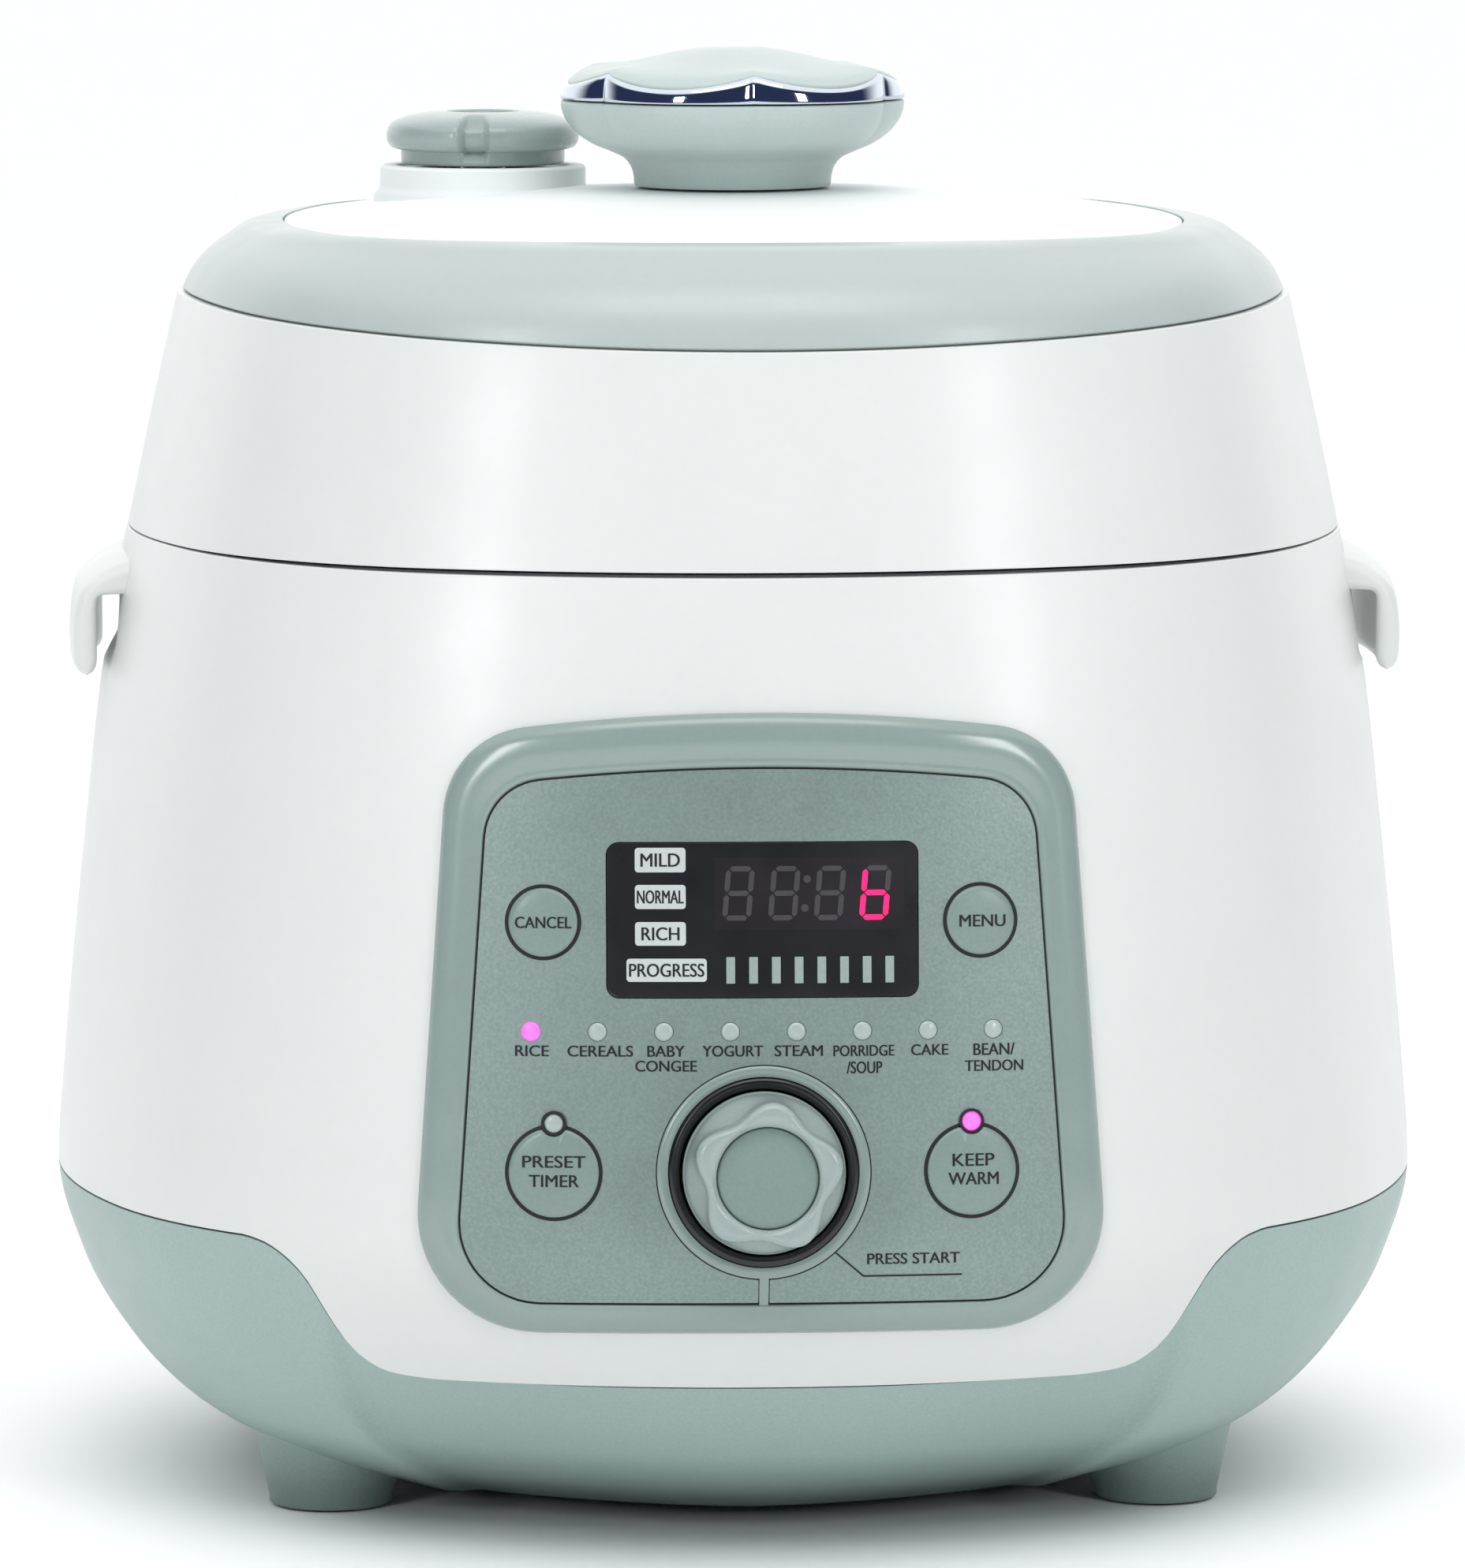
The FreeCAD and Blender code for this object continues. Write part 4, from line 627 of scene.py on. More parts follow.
def limited(p, limit, half, low, high, soft):
    """A point of the side wall pulled in to a flat, as in the finger hollow behind a handle."""
    over = abs(p.x) - limit
    if over <= 0:
        return p
    depth = ease((half - abs(p.y)) / soft) * ease((p.z - low) / soft) * ease((high - p.z) / 4)
    return Vector((p.x - math.copysign(over * depth, p.x), p.y, p.z))


def seam_height(k):
    """The body's top edge, a little lower in the middle of the front."""
    return 209.3 - 0.75 * ease((-TURNS[k][1] - 0.35) / 0.6)


BODY_ROWS = 52
body_outer, body_inner = [], []
for r in range(BODY_ROWS + 1):
    heights = [mix(PARTING[k] + 0.2, seam_height(k), r / BODY_ROWS) for k in range(COLUMNS)]
    body_outer.append([limited(p, 135.2, 33, 178.5, 206, 10) for p in course(body_half, heights)])
    body_inner.append([limited(p, 132.6, 40, 172, 208, 8) for p in course(body_half, heights, WALL)])


def body_kept(r, k):
    """Leaves out the openings behind the panel and behind the inlet."""
    p = (body_outer[r][k] + body_outer[r + 1][(k + 1) % COLUMNS]) / 2
    if p.y < 0:
        return not (abs(p.x) < 55 and -21 < (p - PANEL_ORIGIN).dot(PANEL_UP) < 74)
    return not (abs(p.x) < 14.5 and abs(p.z - 95) < 11)


piece("body_shell_white", shell(body_outer, body_inner, body_kept), WHITE, BODY,
      ["body_shell"], bevel=0.3)


# ---------------- grey base with legs

crease = curve([(5, 66), (14, 75), (20, 82), (28, 88), (45, 93), (58, 97)])


def hollowed(p):
    """The front and back of the bowl sit back between the legs."""
    if abs(p.y) < 0.6 * abs(p.x):
        return p
    over = crease(min(p.z, 70.0)) - abs(p.x)
    depth = 7.0 * ease((60 - p.z) / 40) * ease(over / 8) * (1 - 0.8 * ease((over - 10) / 60))
    return Vector((p.x, p.y - math.copysign(min(depth, abs(p.y) * 0.3), p.y), p.z))


base_outer, base_inner = [], []
for r in range(33):
    share = (1 - r / 32) ** 1.5
    heights = [BASE_FLOOR + (PARTING[k] - 3.75) * share for k in range(COLUMNS)]
    base_outer.append([hollowed(p) for p in course(body_half, heights)])
    base_inner.append([hollowed(column(k, body_half(z) - WALL, z + WALL * ease((40 - z) / 30)))
                       for k, z in enumerate(heights)])
for half in (80, 60, 40, 20, 3):
    base_outer.append([hollowed(column(k, half, BASE_FLOOR)) for k in range(COLUMNS)])
    base_inner.append([hollowed(column(k, half - 1, BASE_FLOOR + WALL)) for k in range(COLUMNS)])

stubs = []
for sx in (-1, 1):
    for sy in (-1, 1):
        def stub_place(p, sx=sx, sy=sy):
            return Vector((sx * (LEG_X - 0.09 * p.z + p.x), sy * (LEG_Y + p.y), p.z))
        profile = [(12.1, 1.2), (12.3, 0.7), (13.0, 0.5), (13.35, 0.8), (13.5, 2.0)]
        profile += [(13.5 + 0.30 * (z - 2), z) for z in range(4, 34, 4)]
        stubs.append(lathe(profile, 72, put=stub_place))
piece("base_bowl_grey", joined(shell(base_outer, base_inner, cap=True), *stubs), BASE, BODY,
      ["base_shell"], bevel=0.45, sharp=50)
pads = [lathe([(11.0, 0.0), (11.8, 0.4), (12.0, 1.0), (12.0, 2.4)], 48,
              put=lambda p, sx=sx, sy=sy: Vector((LEG_X * sx + p.x, LEG_Y * sy + p.y, p.z)))
        for sx in (-1, 1) for sy in (-1, 1)]
piece("foot_pads_rubber", joined(*pads), RUBBER, BODY, ["foot_pads"])


# ---------------- handles

# Each handle is a hood with an outer and an inner face, from its root in the body to its lower lip.
HOOD_OUTER = [(128.0, 204.5), (134.0, 204.4), (137.9, 203.2), (140.7, 201.6), (143.0, 199.8),
              (144.7, 197.9), (145.6, 195.8), (146.2, 192.4), (146.6, 187.2), (146.5, 183.3),
              (146.2, 180.6), (145.3, 179.0), (143.9, 178.4)]
HOOD_INNER = [(128.0, 197.0), (139.0, 196.9), (140.8, 196.2), (141.4, 194.0), (141.4, 183.0),
              (141.6, 180.4), (142.5, 178.9), (143.9, 178.4)]
HALF_LONG = 31.0
END_ROUND = 2.5
HOOD_BOW = 300


def spaced(points, count):
    """count points at even distances along a smooth open line."""
    line = flowing([(x, z, 0) for x, z in points], 200)
    passed = [0.0]
    for a, b in zip(line, line[1:]):
        passed.append(passed[-1] + (b - a).length)
    found = []
    for k in range(count):
        target = passed[-1] * k / (count - 1)
        i = min(next(n for n, p in enumerate(passed) if p >= target - 1e-9), len(line) - 1)
        found.append(line[i])
    return found


def laddered(rows):
    """Faces over rows that run out along one side and back along the other. Ends are closed in rungs."""
    points, faces = skin(rows)
    faces = faces[:-2]
    width = len(rows[0])
    for start in (0, (len(rows) - 1) * width):
        faces += [(start + k, start + k + 1, start + width - 2 - k, start + width - 1 - k)
                  for k in range(width // 2 - 1)]
    return points, faces


outer_face, inner_face = spaced(HOOD_OUTER, 44), spaced(HOOD_INNER, 44)
stations = []
for k in range(9):
    turn = math.radians(90 * k / 8)
    stations.append((-HALF_LONG + END_ROUND * (1 - math.cos(turn)), mix(0.12, 1.0, math.sin(turn))))
stations += [(mix(-HALF_LONG + END_ROUND, 0.0, k / 10), 1.0) for k in range(1, 11)]
stations += [(-y, share) for y, share in reversed(stations[:-1])]
for side, sx in (("left", -1), ("right", 1)):
    rows = []
    for y, share in stations:
        inwards = HOOD_BOW - math.sqrt(HOOD_BOW ** 2 - y * y)
        fall = abs(y / HALF_LONG) ** 3.5
        row = [mix((a + b) / 2, a, share) for a, b in zip(outer_face, inner_face)]
        row += [mix((a + b) / 2, b, share) for a, b in zip(reversed(outer_face), reversed(inner_face))]
        rows.append([Vector((sx * (p.x - inwards), y, p.y - 1.6 * fall * ease((p.y - 188) / 12)))
                     for p in row])
    piece(side + "_handle_hood", laddered(rows), WHITE, BODY,
          [side + "_handle"], sharp=60)


# ---------------- lid

def trim_height(k):
    """The line between the lid's skirt and its grey ring dips towards the front and the back."""
    return RING_FOOT - 6.0 * abs(TURNS[k][1]) ** 2.2


TRIM_LINE = [trim_height(k) for k in range(COLUMNS)]
skirt_outer, skirt_inner = [], []
for r in range(17):
    heights = [mix(SKIRT_FOOT, TRIM_LINE[k], r / 16) for k in range(COLUMNS)]
    skirt_outer.append(course(lid_half, heights))
    skirt_inner.append(course(lid_half, heights, WALL))
piece("lid_skirt_white", shell(skirt_outer, skirt_inner), WHITE, "lid", ["lid_skirt"],
      bevel=0.3)

ring_outer, ring_inner = [], []
for r in range(15):
    t = r / 14
    heights = [mix(TRIM_LINE[k] + 0.75, RING_TOP, 1 - (1 - t) ** 1.3) for k in range(COLUMNS)]
    if r == 0:
        # The groove between the skirt and the ring.
        for lift, sunk in ((-3.0, 1.5), (0.05, 1.5), (0.5, 0.25)):
            groove = [z + lift for z in TRIM_LINE]
            ring_outer.append(course(trim_half, groove, sunk))
            ring_inner.append(course(trim_half, groove, 3.4))
    ring_outer.append(course(trim_half, heights))
    ring_inner.append([column(k, trim_half(z) - mix(3.2, 1.6, t), z - mix(0.0, 1.8, t))
                       for k, z in enumerate(heights)])
# From the ring's shoulder to the cover's edge the section is one Bezier curve.
for r in range(1, 11):
    t = r / 10
    row, under = [], []
    for k in range(COLUMNS):
        r0, r3 = RING_TOP_HALF * BODY_PLAN[k], COVER_HALF * COVER_PLAN[k] + 0.35
        z0, z3 = RING_TOP, 276.3
        reach = 0.36 * math.hypot(r3 - r0, z3 - z0)
        weights = ((1 - t) ** 3, 3 * t * (1 - t) ** 2, 3 * t * t * (1 - t), t ** 3)
        radius = sum(w * s for w, s in zip(weights, (r0, r0 - 0.79 * reach, r3 + reach, r3)))
        z = sum(w * s for w, s in zip(weights, (z0, z0 + 0.61 * reach, z3 - 0.10 * reach, z3)))
        row.append(Vector((radius * TURNS[k][0], radius * TURNS[k][1], z)))
        under.append(Vector(((radius - mix(1.6, 0.0, t)) * TURNS[k][0],
                             (radius - mix(1.6, 0.0, t)) * TURNS[k][1], z - mix(1.8, 3.0, t))))
    ring_outer.append(row)
    ring_inner.append(under)
piece("lid_ring_grey", shell(ring_outer, ring_inner), TRIM, "lid", ["lid_trim_ring"],
      bevel=0.15, sharp=30)

cover_rows = []
for share in (0.02, 0.12, 0.24, 0.36, 0.48, 0.6, 0.7, 0.79, 0.86, 0.92, 0.96, 0.985, 1.0):
    z = 276.0 + 7.0 * (1 - share ** 2.0)
    cover_rows.append([column(k, COVER_HALF * share, z, COVER_PLAN) for k in range(COLUMNS)])
for half in (COVER_HALF, 60.0, 2.0):
    cover_rows.append([column(k, half, COVER_FOOT, COVER_PLAN) for k in range(COLUMNS)])


def at_valve(p):
    """Moves a lathe's points to the steam valve's axis."""
    return Vector((p.x - 54.4, p.y + 35, p.z))


boss = lathe([(25.2, 274.0), (24.4, 279.6), (23.5, 280.6), (23.0, 282.0), (23.0, 285.5), (22.8, 286.05),
              (22.2, 286.3), (19.6, 286.3), (19.2, 286.0), (19.1, 285.4), (1.0, 285.4)], 96, put=at_valve)
piece("lid_cover_white", joined(skin(cover_rows), boss), COVER_WHITE_PAINTED_LIGHT, "lid",
      ["lid_top_cover"], bevel=0.4)


# ---------------- lock knob and steam valve

FIRST_VALLEY = math.radians(-84.5)
LOBE_DEPTH = 0.066
LOBE_POWER = 0.55
BAND_FOOT = 302.55
BAND_TOP = 305.9
CAP_HALF = 36.4


def lobe(angle, power):
    """0 in the knob's six valleys, 1 on its lobes."""
    return abs(math.sin(6 * (angle - FIRST_VALLEY) / 2)) ** power


def knob_warp(shares):
    """Lobes that grow with height, from smooth at the neck to full at the rim."""
    deep = curve(shares)

    def warp(r, z, angle):
        return r * (1 - LOBE_DEPTH * max(0.0, deep(z)) * (1 - lobe(angle, LOBE_POWER))), z
    return warp


def smooth_profile(points, count):
    return [(p.x, p.y) for p in flowing([(r, z, 0) for r, z in points], count)]


grip = [(20.6, 283.2), (21.5, 283.3)]
grip += smooth_profile([(21.7, 283.8), (21.9, 285.8), (22.6, 287.8), (24.2, 289.6), (27.2, 291.0),
                        (31.0, 292.6), (34.4, 294.9), (36.7, 297.6), (37.7, 300.0), (37.95, 301.8)], 40)
grip += [(37.6, 302.2), (30.0, 302.2)]
piece("knob_grip_grey", lathe(grip, 360, knob_warp([(283, 0), (290, 0.15), (296, 0.8), (302, 1.0)])), PALE,
      "lock", ["knob_grip"], sharp=60)


def chrome_top(angle):
    """The band's upper edge rises in the valleys."""
    return BAND_TOP + 3.0 * (1 - lobe(angle, 0.9))


def chrome_warp(r, z, angle):
    """z runs 0 to 1 from the band's lower edge to its wavy upper edge."""
    radius = r * (1 - LOBE_DEPTH * (1 - lobe(angle, LOBE_POWER)))
    return radius, mix(BAND_FOOT, chrome_top(angle), z)


band = [(34.0, 0.0), (37.8, 0.0), (38.08, 0.03), (38.1, 0.08), (38.0, 0.3), (37.87, 0.5), (37.72, 0.68),
        (37.5, 0.8), (37.1, 0.9), (36.5, 0.97), (35.9, 1.0), (35.5, 0.95), (35.3, 0.85), (34.0, 0.8)]
piece("knob_band_chrome", lathe(band, 360, chrome_warp, loop=True), CHROME, "lock",
      ["knob_chrome_ring"], sharp=70)

cap_height = curve([(0, 313.7), (8, 313.5), (14, 312.5), (20, 311.1), (26, 309.9), (31.4, 308.9),
                    (34.5, 307.9), (CAP_HALF, 306.4)])


def cap_warp(r, z, angle):
    """z is 1 on the top face; its edge follows the chrome band."""
    valley = 1 - lobe(angle, LOBE_POWER)
    share = r / CAP_HALF
    radius = r * (1 - LOBE_DEPTH * valley * share ** 2)
    rise = chrome_top(angle) - BAND_TOP
    return radius, (cap_height(r) + rise * share ** 6 * 0.9 - 0.25 * share ** 8) if z else 303.0


cap = [(r, 1) for r in (0.5, 4, 8, 12, 16, 20, 23, 26, 28.5, 31, 33, 34.4, 35.4, 36.0, 36.35)]
cap += [(36.0, 0), (1.0, 0)]
piece("knob_cap_dome", lathe(cap, 360, cap_warp), PALE, "lock", ["knob_cap"], sharp=60)


def valve_warp(r, z, angle):
    """Three finger notches in the wide rim."""
    notch = max(0.0, 1 - (1 - abs(math.cos(1.5 * (angle + math.radians(97))))) / 0.035)
    depth = ease((z - 288.8) / 1.0) * ease((r - 12) / 8)
    fall = 1.3 * ease(notch * 1.3) * depth * ease((z - 294) / 2)
    return r * (1 - 0.15 * ease(notch * 1.6) * depth), z - fall


valve = [(17.6, 286.55), (18.2, 286.8), (18.3, 287.4), (18.3, 289.6)]
valve += smooth_profile([(20.4, 290.2), (21.2, 291.2), (21.5, 292.8), (21.2, 294.6), (20.0, 296.0),
                         (17.0, 297.2), (13.0, 297.9), (9.6, 298.2)], 30)
valve += [(8.6, 298.25), (7.9, 298.0), (7.6, 297.3), (7.4, 293.9), (1.0, 293.7)]
piece("valve_cap_grey", lathe(valve, 240, valve_warp, put=at_valve), KNOB, "valve",
      ["valve_cap"], sharp=50)


# ---------------- control panel

bezel_line = crowned(-34, 90.3, 73.5, 65, 25, 19, 420, 300)
face_line = crowned(-27.7, 80.5, 64.5, 57, 17, 13, 450, 300)
bezel_rows = []
# The bezel's section, as shares of the way from its outer line to the face's line.
for share, lift in ((0, -0.6), (0, 0.35), (0.015, 0.75), (0.05, 1.35), (0.11, 1.85), (0.2, 2.2),
                    (0.35, 2.4), (0.52, 2.35), (0.68, 2.1), (0.8, 1.8), (0.87, 1.72), (0.92, 1.75),
                    (0.96, 1.6), (0.985, 1.25), (1.0, 0.9), (1.0, -0.6)):
    bezel_rows.append([on_panel(mix(a[0], b[0], share), mix(a[1], b[1], share), lift)
                       for a, b in zip(bezel_line, face_line)])
collar = lathe([(22.2, 0.1), (22.2, 1.2), (22.0, 1.42), (21.2, 1.5), (20.4, 1.42), (19.9, 1.2),
                (19.9, 0.1)], 120, put=around(0, 0), loop=True)
stem = panel_sheet(rectangle(-0.95, -28.1, 0.95, -21.9, 0.1), 1.38, 1.2)
piece("panel_bezel_grey", joined(skin(bezel_rows, loop=True), collar, stem), BEZEL, BODY,
      ["panel_bezel"], sharp=55)

# The large keys lie at KEY_X and have a status lamp STATUS_V above their middle.
KEY_X = 43.5
STATUS_V = 10.2
# Each key: its body, x and v of its middle, the cap's radius and the hole's.
KEY_CAPS = (("cancel", -45.5, 52.0, 7.15, 7.9), ("menu", 45.5, 52.0, 7.15, 7.9),
            ("timer", -KEY_X, 0.0, 9.35, 10.1), ("warm", KEY_X, 0.0, 9.35, 10.1))
LAMPS = [(13.75 * (k - 3.5), 29.3) for k in range(8)]
holes = [rectangle(-32.5, 36.2, 32.5, 68.7, 2.7), circle(0, 0, 22.45, 120),
         rectangle(-1.2, -30, 1.2, -21.5, 0.1)]
holes += [circle(x, v, hole) for _, x, v, _, hole in KEY_CAPS]
holes += [circle(x, STATUS_V, 2.6, 32) for x in (-KEY_X, KEY_X)]
holes += [circle(x, v, 2.0, 32) for x, v in LAMPS]
piece("panel_face_silver", panel_sheet(shrunk(face_line, 0.4), 1.2, 1.0, holes, step=3.5), SILVER,
      BODY, ["panel_face"], bevel=0.15, segments=2, sharp=50)


def hoop(x, v, inner, outer, lift, count=72):
    section = [(outer, 0.3), (outer, lift), (inner, lift), (inner, 0.3)]
    return lathe(section, count, put=around(x, v), loop=True)


def band_between(loop_a, loop_b, lift):
    """A dark strip that fills the space between two outlines: painted shade in the gap between the bezel
    and the face.
    """
    rows = [[on_panel(x, v, height) for x, v in loop]
            for loop, height in ((loop_a, 0.2), (loop_a, lift), (loop_b, lift), (loop_b, 0.2))]
    return skin(rows, loop=True)


def stroke(x0, v0, x1, v1, width, lift=PRINT_LIFT):
    size = math.hypot(x1 - x0, v1 - v0)
    nx, nv = -(v1 - v0) / size * width / 2, (x1 - x0) / size * width / 2
    return panel_sheet([(x0 - nx, v0 - nv), (x1 - nx, v1 - nv), (x1 + nx, v1 + nv), (x0 + nx, v0 + nv)],
                       lift, 0.05)


# Dark rings in the gaps round the key caps, the status lamps and the dial, and a dark strip in the gap
# round the face: painted shade of those gaps. The two strokes are the printed leader line.
lines = [hoop(x, v, cap_r + 0.07, hole, 1.3) for _, x, v, cap_r, hole in KEY_CAPS]
lines += [hoop(x, STATUS_V, 2.05, 2.62, 1.75, 40) for x in (-KEY_X, KEY_X)]
lines += [hoop(0, 0, 22.25, 22.5, 1.1, 120), band_between(face_line, shrunk(face_line, 0.42), 0.9)]
lines += [stroke(14.9, -16.8, 20.7, -21.8, 0.36), stroke(20.6, -21.8, 41.4, -21.8, 0.36)]
piece("panel_lines_black", joined(*lines), INK_AND_GAP_SHADE, BODY)

piece("panel_words", lettering([
    ("RICE", -47.9, 25.3, 7.0, 2.3), ("CEREALS", -33.8, 25.3, 13.6, 2.3), ("BABY", -20.2, 25.3, 7.8, 2.3),
    ("CONGEE", -20.2, 22.2, 12.8, 2.3), ("YOGURT", -6.4, 25.3, 12.6, 2.3), ("STEAM", 7.3, 25.3, 10.1, 2.3),
    ("PORRIDGE", 20.9, 25.2, 12.8, 2.3), ("/SOUP", 21.0, 21.7, 7.5, 2.5), ("CAKE", 34.7, 25.2, 7.9, 2.3),
    ("BEAN/", 48.3, 25.1, 8.8, 2.5), ("TENDON", 48.3, 21.7, 12.4, 2.3),
    ("PRESS START", 31.2, -18.2, 19.5, 2.3),
]), INK_AND_GAP_SHADE, BODY)

piece("display_window_black", panel_sheet(rectangle(-32.3, 36.4, 32.3, 68.5, 2.5), 1.32, 1.3), BLACK,
      BODY, ["display_window"], bevel=0.2, segments=2)

# Each tag: its word, its low and high corners, and the word's width.
WORD_TAGS = (("MILD", -26.5, 62.4, -16.0, 67.5, 8.2), ("NORMAL", -26.5, 54.8, -16.0, 59.8, 9.7),
             ("RICH", -26.5, 47.2, -16.0, 52.1, 7.9), ("PROGRESS", -28.3, 39.7, -11.7, 44.5, 15.6))
piece("display_tags_grey", joined(*[panel_sheet(rectangle(x0, v0, x1, v1, 0.7), 1.38, 0.04, step=2.5)
                                    for _, x0, v0, x1, v1, _ in WORD_TAGS]), TAGS, BODY)
piece("display_words", lettering([(word, (x0 + x1) / 2, (v0 + v1) / 2, width, 2.75)
                                  for word, x0, v0, x1, v1, width in WORD_TAGS], 1.42), INK_AND_GAP_SHADE, BODY)
piece("display_inset_dark", panel_sheet(rectangle(-10.1, 50.4, 29.5, 65.5, 0.2), 1.36, 0.03), INSET,
      BODY)
piece("display_bars_grey", joined(*[panel_sheet(rectangle(x - 0.9, 39.3, x + 0.9, 44.8, 0.1), 1.38, 0.04)
                                    for x in (-6.75 + 4.73 * k for k in range(8))]), BARS, BODY)

# Each bar's ends, in steps across and up.
SEGMENTS = {"a": (0, 2, 1, 2), "b": (1, 1, 1, 2), "c": (1, 0, 1, 1), "d": (0, 0, 1, 0), "e": (0, 0, 0, 1),
            "f": (0, 1, 0, 2), "g": (0, 1, 1, 1)}


def segment(name, x, v, lift=1.40):
    """One bar of a seven-segment digit whose lower left corner is at (x, v)."""
    wide, tall, thick, gap = 4.9, 5.1, 1.1, 0.22
    ax, av, bx, bv = SEGMENTS[name]
    ax, bx = x + 0.6 + ax * wide, x + 0.6 + bx * wide
    av, bv = v + 0.6 + av * tall, v + 0.6 + bv * tall
    size = math.hypot(bx - ax, bv - av)
    dx, dv = (bx - ax) / size, (bv - av) / size
    half = thick / 2
    spots = []
    for along, aside in ((gap, 0), (gap + half, -half), (size - gap - half, -half), (size - gap, 0),
                         (size - gap - half, half), (gap + half, half)):
        px, pv = ax + dx * along - dv * aside, av + dv * along + dx * aside
        spots.append((px + 0.085 * (pv - v), pv))
    return panel_sheet(spots, lift, 0.03)


DIGITS = [-8.6, 0.9, 10.4, 19.9]
unlit = [segment(s, x, 52.3) for x in DIGITS for s in "abcdefg" if x != DIGITS[3] or s in "ab"]
unlit += [panel_sheet(circle(x, v, 0.8, 20), 1.40, 0.03) for x, v in ((9.2, 60.9), (8.7, 54.9))]
piece("display_digits_unlit", joined(*unlit), UNLIT, BODY)
piece("display_digit_lit", joined(*[segment(s, DIGITS[3], 52.3) for s in "cdefg"]), DIGIT, BODY)


def dome(x, v, radius, lift):
    return lathe([(radius, 0.2), (radius, lift), (radius * 0.9, lift + 0.22), (radius * 0.6, lift + 0.36),
                  (0.05, lift + 0.42)], 36, put=around(x, v))


piece("function_lenses_clear", joined(*[dome(x, v, 1.9, 1.15) for x, v in LAMPS[1:]]), LENS, BODY,
      ["function_lenses"])
piece("timer_lens_clear", dome(-KEY_X, STATUS_V, 2.0, 1.3), LENS, BODY,
      ["status_lenses"])
piece("lit_lenses_pink", joined(dome(*LAMPS[0], 1.95, 1.15), dome(KEY_X, STATUS_V, 2.0, 1.3)), LIT,
      BODY)

# Radius of the large keys' notch for that lamp.
NOTCH = 2.72
# Words on each key, placed from its middle.
KEY_WORDS = {
    "cancel": [("CANCEL", 0, 0, 11.7, 2.4)], "menu": [("MENU", 0.4, -0.1, 9.8, 2.5)],
    "timer": [("PRESET", 0, 2.3, 13.1, 2.5), ("TIMER", 0, -1.7, 10.4, 2.5)],
    "warm": [("KEEP", 0.3, 2.2, 8.9, 2.6), ("WARM", 0.3, -1.7, 10.7, 2.6)],
}
for key, x, v, radius, hole in KEY_CAPS:
    profile = [(radius, -2.0), (radius, 1.45), (radius - 0.15, 1.75), (radius - 0.5, 1.98),
               (radius - 1.2, 2.1), (radius * 0.6, 2.18), (radius * 0.3, 2.2), (0.1, 2.2)]

    def notched(r, z, angle):
        """Room for the round status lamp at the top of a large key."""
        across = STATUS_V * math.cos(angle)
        if radius > 9 and math.sin(angle) > 0 and abs(across) < NOTCH:
            r = min(r, STATUS_V * math.sin(angle) - math.sqrt(NOTCH ** 2 - across ** 2))
        return r, z

    piece(key + "_key_cap", lathe(profile, 120, notched, put=around(x, v)), KEYS, key,
          [key + "_button"], sharp=50)
    words = [(text, x + dx, v + dv, width, height) for text, dx, dv, width, height in KEY_WORDS[key]]
    piece(key + "_key_words", lettering(words, 2.25), INK_AND_GAP_SHADE, key)


# ---------------- dial

ring = [(19.7, 0.0), (19.7, 1.35), (19.5, 1.7), (19.0, 1.85), (18.2, 1.8), (17.6, 1.5), (17.4, 1.1),
        (17.4, -0.5)]
piece("dial_ring_black", lathe(ring, 120, put=around(0, 0), loop=True), BLACK, BODY,
      ["dial_ring"], sharp=60)


def dial_lobe(angle):
    return 14.25 + 1.45 * math.cos(5 * (angle - math.radians(84)))


def dial_warp(r, z, angle):
    """Side: a round flange that turns into five lobes. Front: the lobes' flat face. r is a share there."""
    edge = mix(16.6, dial_lobe(angle), ease((z - 3.4) / 11.5))
    if z <= 3.3:
        return r, z
    if r > 0.9:
        return edge * r, z
    if r > 0.5:
        return mix(11.3, edge * 0.9, (r - 0.5) / 0.4), z
    return r * 22.0, z


dial = [(15.5, 0.6), (16.9, 0.65), (16.95, 1.6), (16.9, 2.6), (16.75, 3.0)]
dial += [(1.0, 3.4 + 15.4 * k / 16) for k in range(17)]
dial += [(0.995, 19.3), (0.98, 19.8), (0.955, 20.2), (0.92, 20.42), (0.9, 20.46), (0.75, 20.48),
         (0.6, 20.42), (0.52, 20.2), (0.4955, 19.9), (0.486, 19.4), (0.4825, 18.8), (0.4825, 17.0),
         (0.02, 17.0)]
piece("dial_knob_lobed", lathe(dial, 240, dial_warp, put=on_dial), KNOB, "dial", ["dial_knob"],
      sharp=55)
insert = [(10.4, 16.9), (10.45, 18.2), (10.3, 18.5), (10.0, 18.6), (7.0, 18.52), (3.0, 18.46), (0.1, 18.45)]
piece("dial_insert_disc", lathe(insert, 96, put=on_dial), KEYS, "dial", ["dial_cap"], sharp=50)


# ---------------- hinge

HINGE_Y = 161.6
HINGE_Z = 212.4


def prism(outline, x0, x1, steps=6):
    """An outline in the YZ plane drawn out along X."""
    rows = [[Vector((mix(x0, x1, k / steps), y, z)) for y, z in outline] for k in range(steps + 1)]
    return skin(rows)


def barrel(start, end, radius=9.0, steps=22):
    """An arc round the hinge's pin, from one angle to another."""
    turns = [math.radians(mix(start, end, k / steps)) for k in range(steps + 1)]
    return [(HINGE_Y + radius * math.cos(turn), HINGE_Z + radius * math.sin(turn)) for turn in turns]


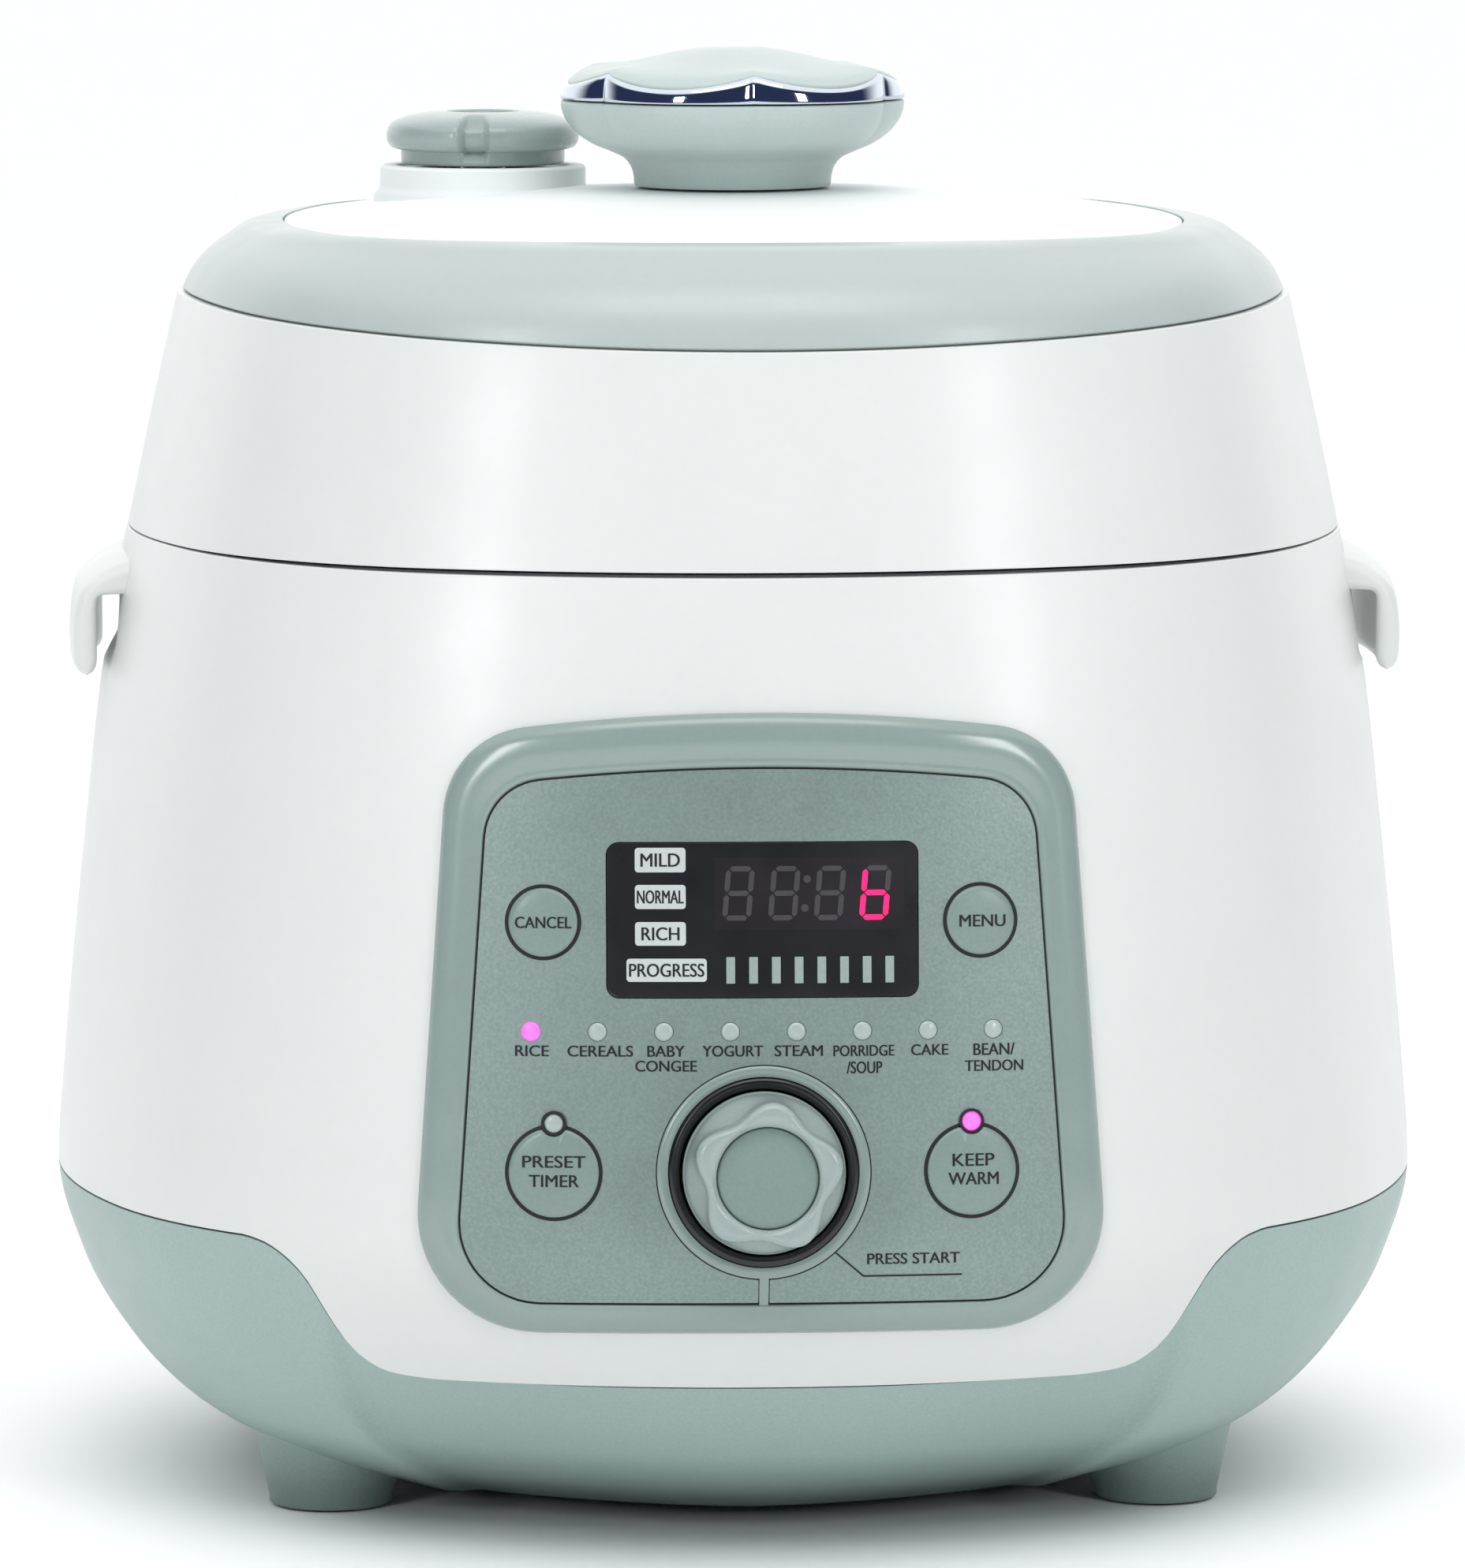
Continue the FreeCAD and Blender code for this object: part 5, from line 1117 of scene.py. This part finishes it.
arm = [(124.0, 239.4), (127.0, 210.8), (152.0, 210.6)] + barrel(-165, 95)
arm += [(154.0, 222.2), (148.0, 225.0), (137.0, 232.9)]
piece("hinge_arm_white", prism(arm, -30, 30), WHITE, "lid", ["lid_hinge_arm"], bevel=1.4,
      segments=4, sharp=30)
bracket = [(130.0, 173.4), (146.0, 173.4), (163.0, 191.4), (163.0, 202.4), (131.0, 202.4)]
knuckle = [(152.6, 198.9), (163.0, 198.9)] + barrel(-70, 180)
bracket_parts = joined(prism(bracket, -48, 48), prism(knuckle, -45, -31), prism(knuckle, 31, 45))
piece("hinge_bracket_grey", bracket_parts, BASE, BODY, ["hinge_bracket"],
      bevel=1.3, segments=4, sharp=30)


# ---------------- floor, light and camera

mesh = bpy.data.meshes.new("floor")
mesh.from_pydata([(-30, -30, 0), (30, -30, 0), (30, 30, 0), (-30, 30, 0)], [], [(0, 1, 2, 3)])
floor = placed("floor", mesh)
mesh.materials.append(surface("floor_pale", (254, 254, 254), 0.8, grain=40.0, speckle=0.003, cloud=0.003))

world = bpy.data.worlds.new("studio")
bpy.context.scene.world = world
world.use_nodes = True
nodes, links = world.node_tree.nodes, world.node_tree.links


def ramp(value, low, high, start, end):
    """From start to end as the value goes from low to high, smoothly."""
    node = added(nodes, "MapRange", From_Min=low, From_Max=high, To_Min=start, To_Max=end)
    node.interpolation_type = "SMOOTHSTEP"
    links.new(value, node.inputs["Value"])
    return node.outputs["Result"]


def combined(operation, first, second):
    node = added(nodes, "Math")
    node.operation = operation
    links.new(first, node.inputs[0])
    links.new(second, node.inputs[1])
    return node.outputs["Value"]


# A white studio, dark lower down in front and at the sides, which the chrome band mirrors.
direction = added(nodes, "TexCoord")
split = added(nodes, "SeparateXYZ")
links.new(direction.outputs["Generated"], split.inputs["Vector"])
in_front = ramp(split.outputs["Y"], 0.20, 0.70, 1.0, 0.0)
low_down = ramp(split.outputs["Z"], 0.50, 0.66, 1.0, 0.0)
darkness = combined("MULTIPLY", in_front, low_down)
shade = added(nodes, "Mix")
shade.data_type = "RGBA"
links.new(darkness, shade.inputs["Factor"])
shade.inputs["A"].default_value = (1.0, 1.0, 1.0, 1.0)
shade.inputs["B"].default_value = (0.025, 0.035, 0.08, 1.0)
back = nodes["Background"]
links.new(shade.outputs["Result"], back.inputs["Color"])
back.inputs["Strength"].default_value = 1.26


def lamp(name, spot, aim, width, height, power):
    light = bpy.data.lights.new(name, "AREA")
    light.shape = "RECTANGLE"
    light.size, light.size_y = width, height
    light.energy = power
    holder = placed(name, light)
    holder.location = spot
    holder.rotation_euler = (Vector(aim) - Vector(spot)).to_track_quat("-Z", "Y").to_euler()


lamp("top", (0.0, -1.1, 1.9), (0, 0, 0.2), 1.5, 0.9, 10)
lamp("left", (-1.25, -1.7, 0.75), (0, 0, 0.15), 0.3, 0.6, 6.5)
lamp("right", (1.25, -1.7, 0.75), (0, 0, 0.15), 0.3, 0.6, 6.5)

EYE_DISTANCE = 2.120
EYE_TURN = math.radians(2.5)
eye = Vector((-EYE_DISTANCE * math.sin(EYE_TURN), -EYE_DISTANCE * math.cos(EYE_TURN), 0.393))
target = Vector((0, 0, 0.1503))
lens = bpy.data.cameras.new("camera")
lens.lens = 220.5
lens.sensor_width = 36.0
lens.clip_end = 100.0
camera = placed("camera", lens)
camera.location = eye
camera.rotation_euler = (target - eye).to_track_quat("-Z", "Y").to_euler()
bpy.context.scene.camera = camera
bpy.context.scene.view_settings.view_transform = "Standard"

# CAD nodes that stay in view get slightly rounded edges.
for node in frame["nodes"].values():
    if not node.hide_render:
        weld = node.modifiers.new("weld", "WELD")
        weld.merge_threshold = 0.01 * MM
        round_edges(node, 0.25, 2, 35)
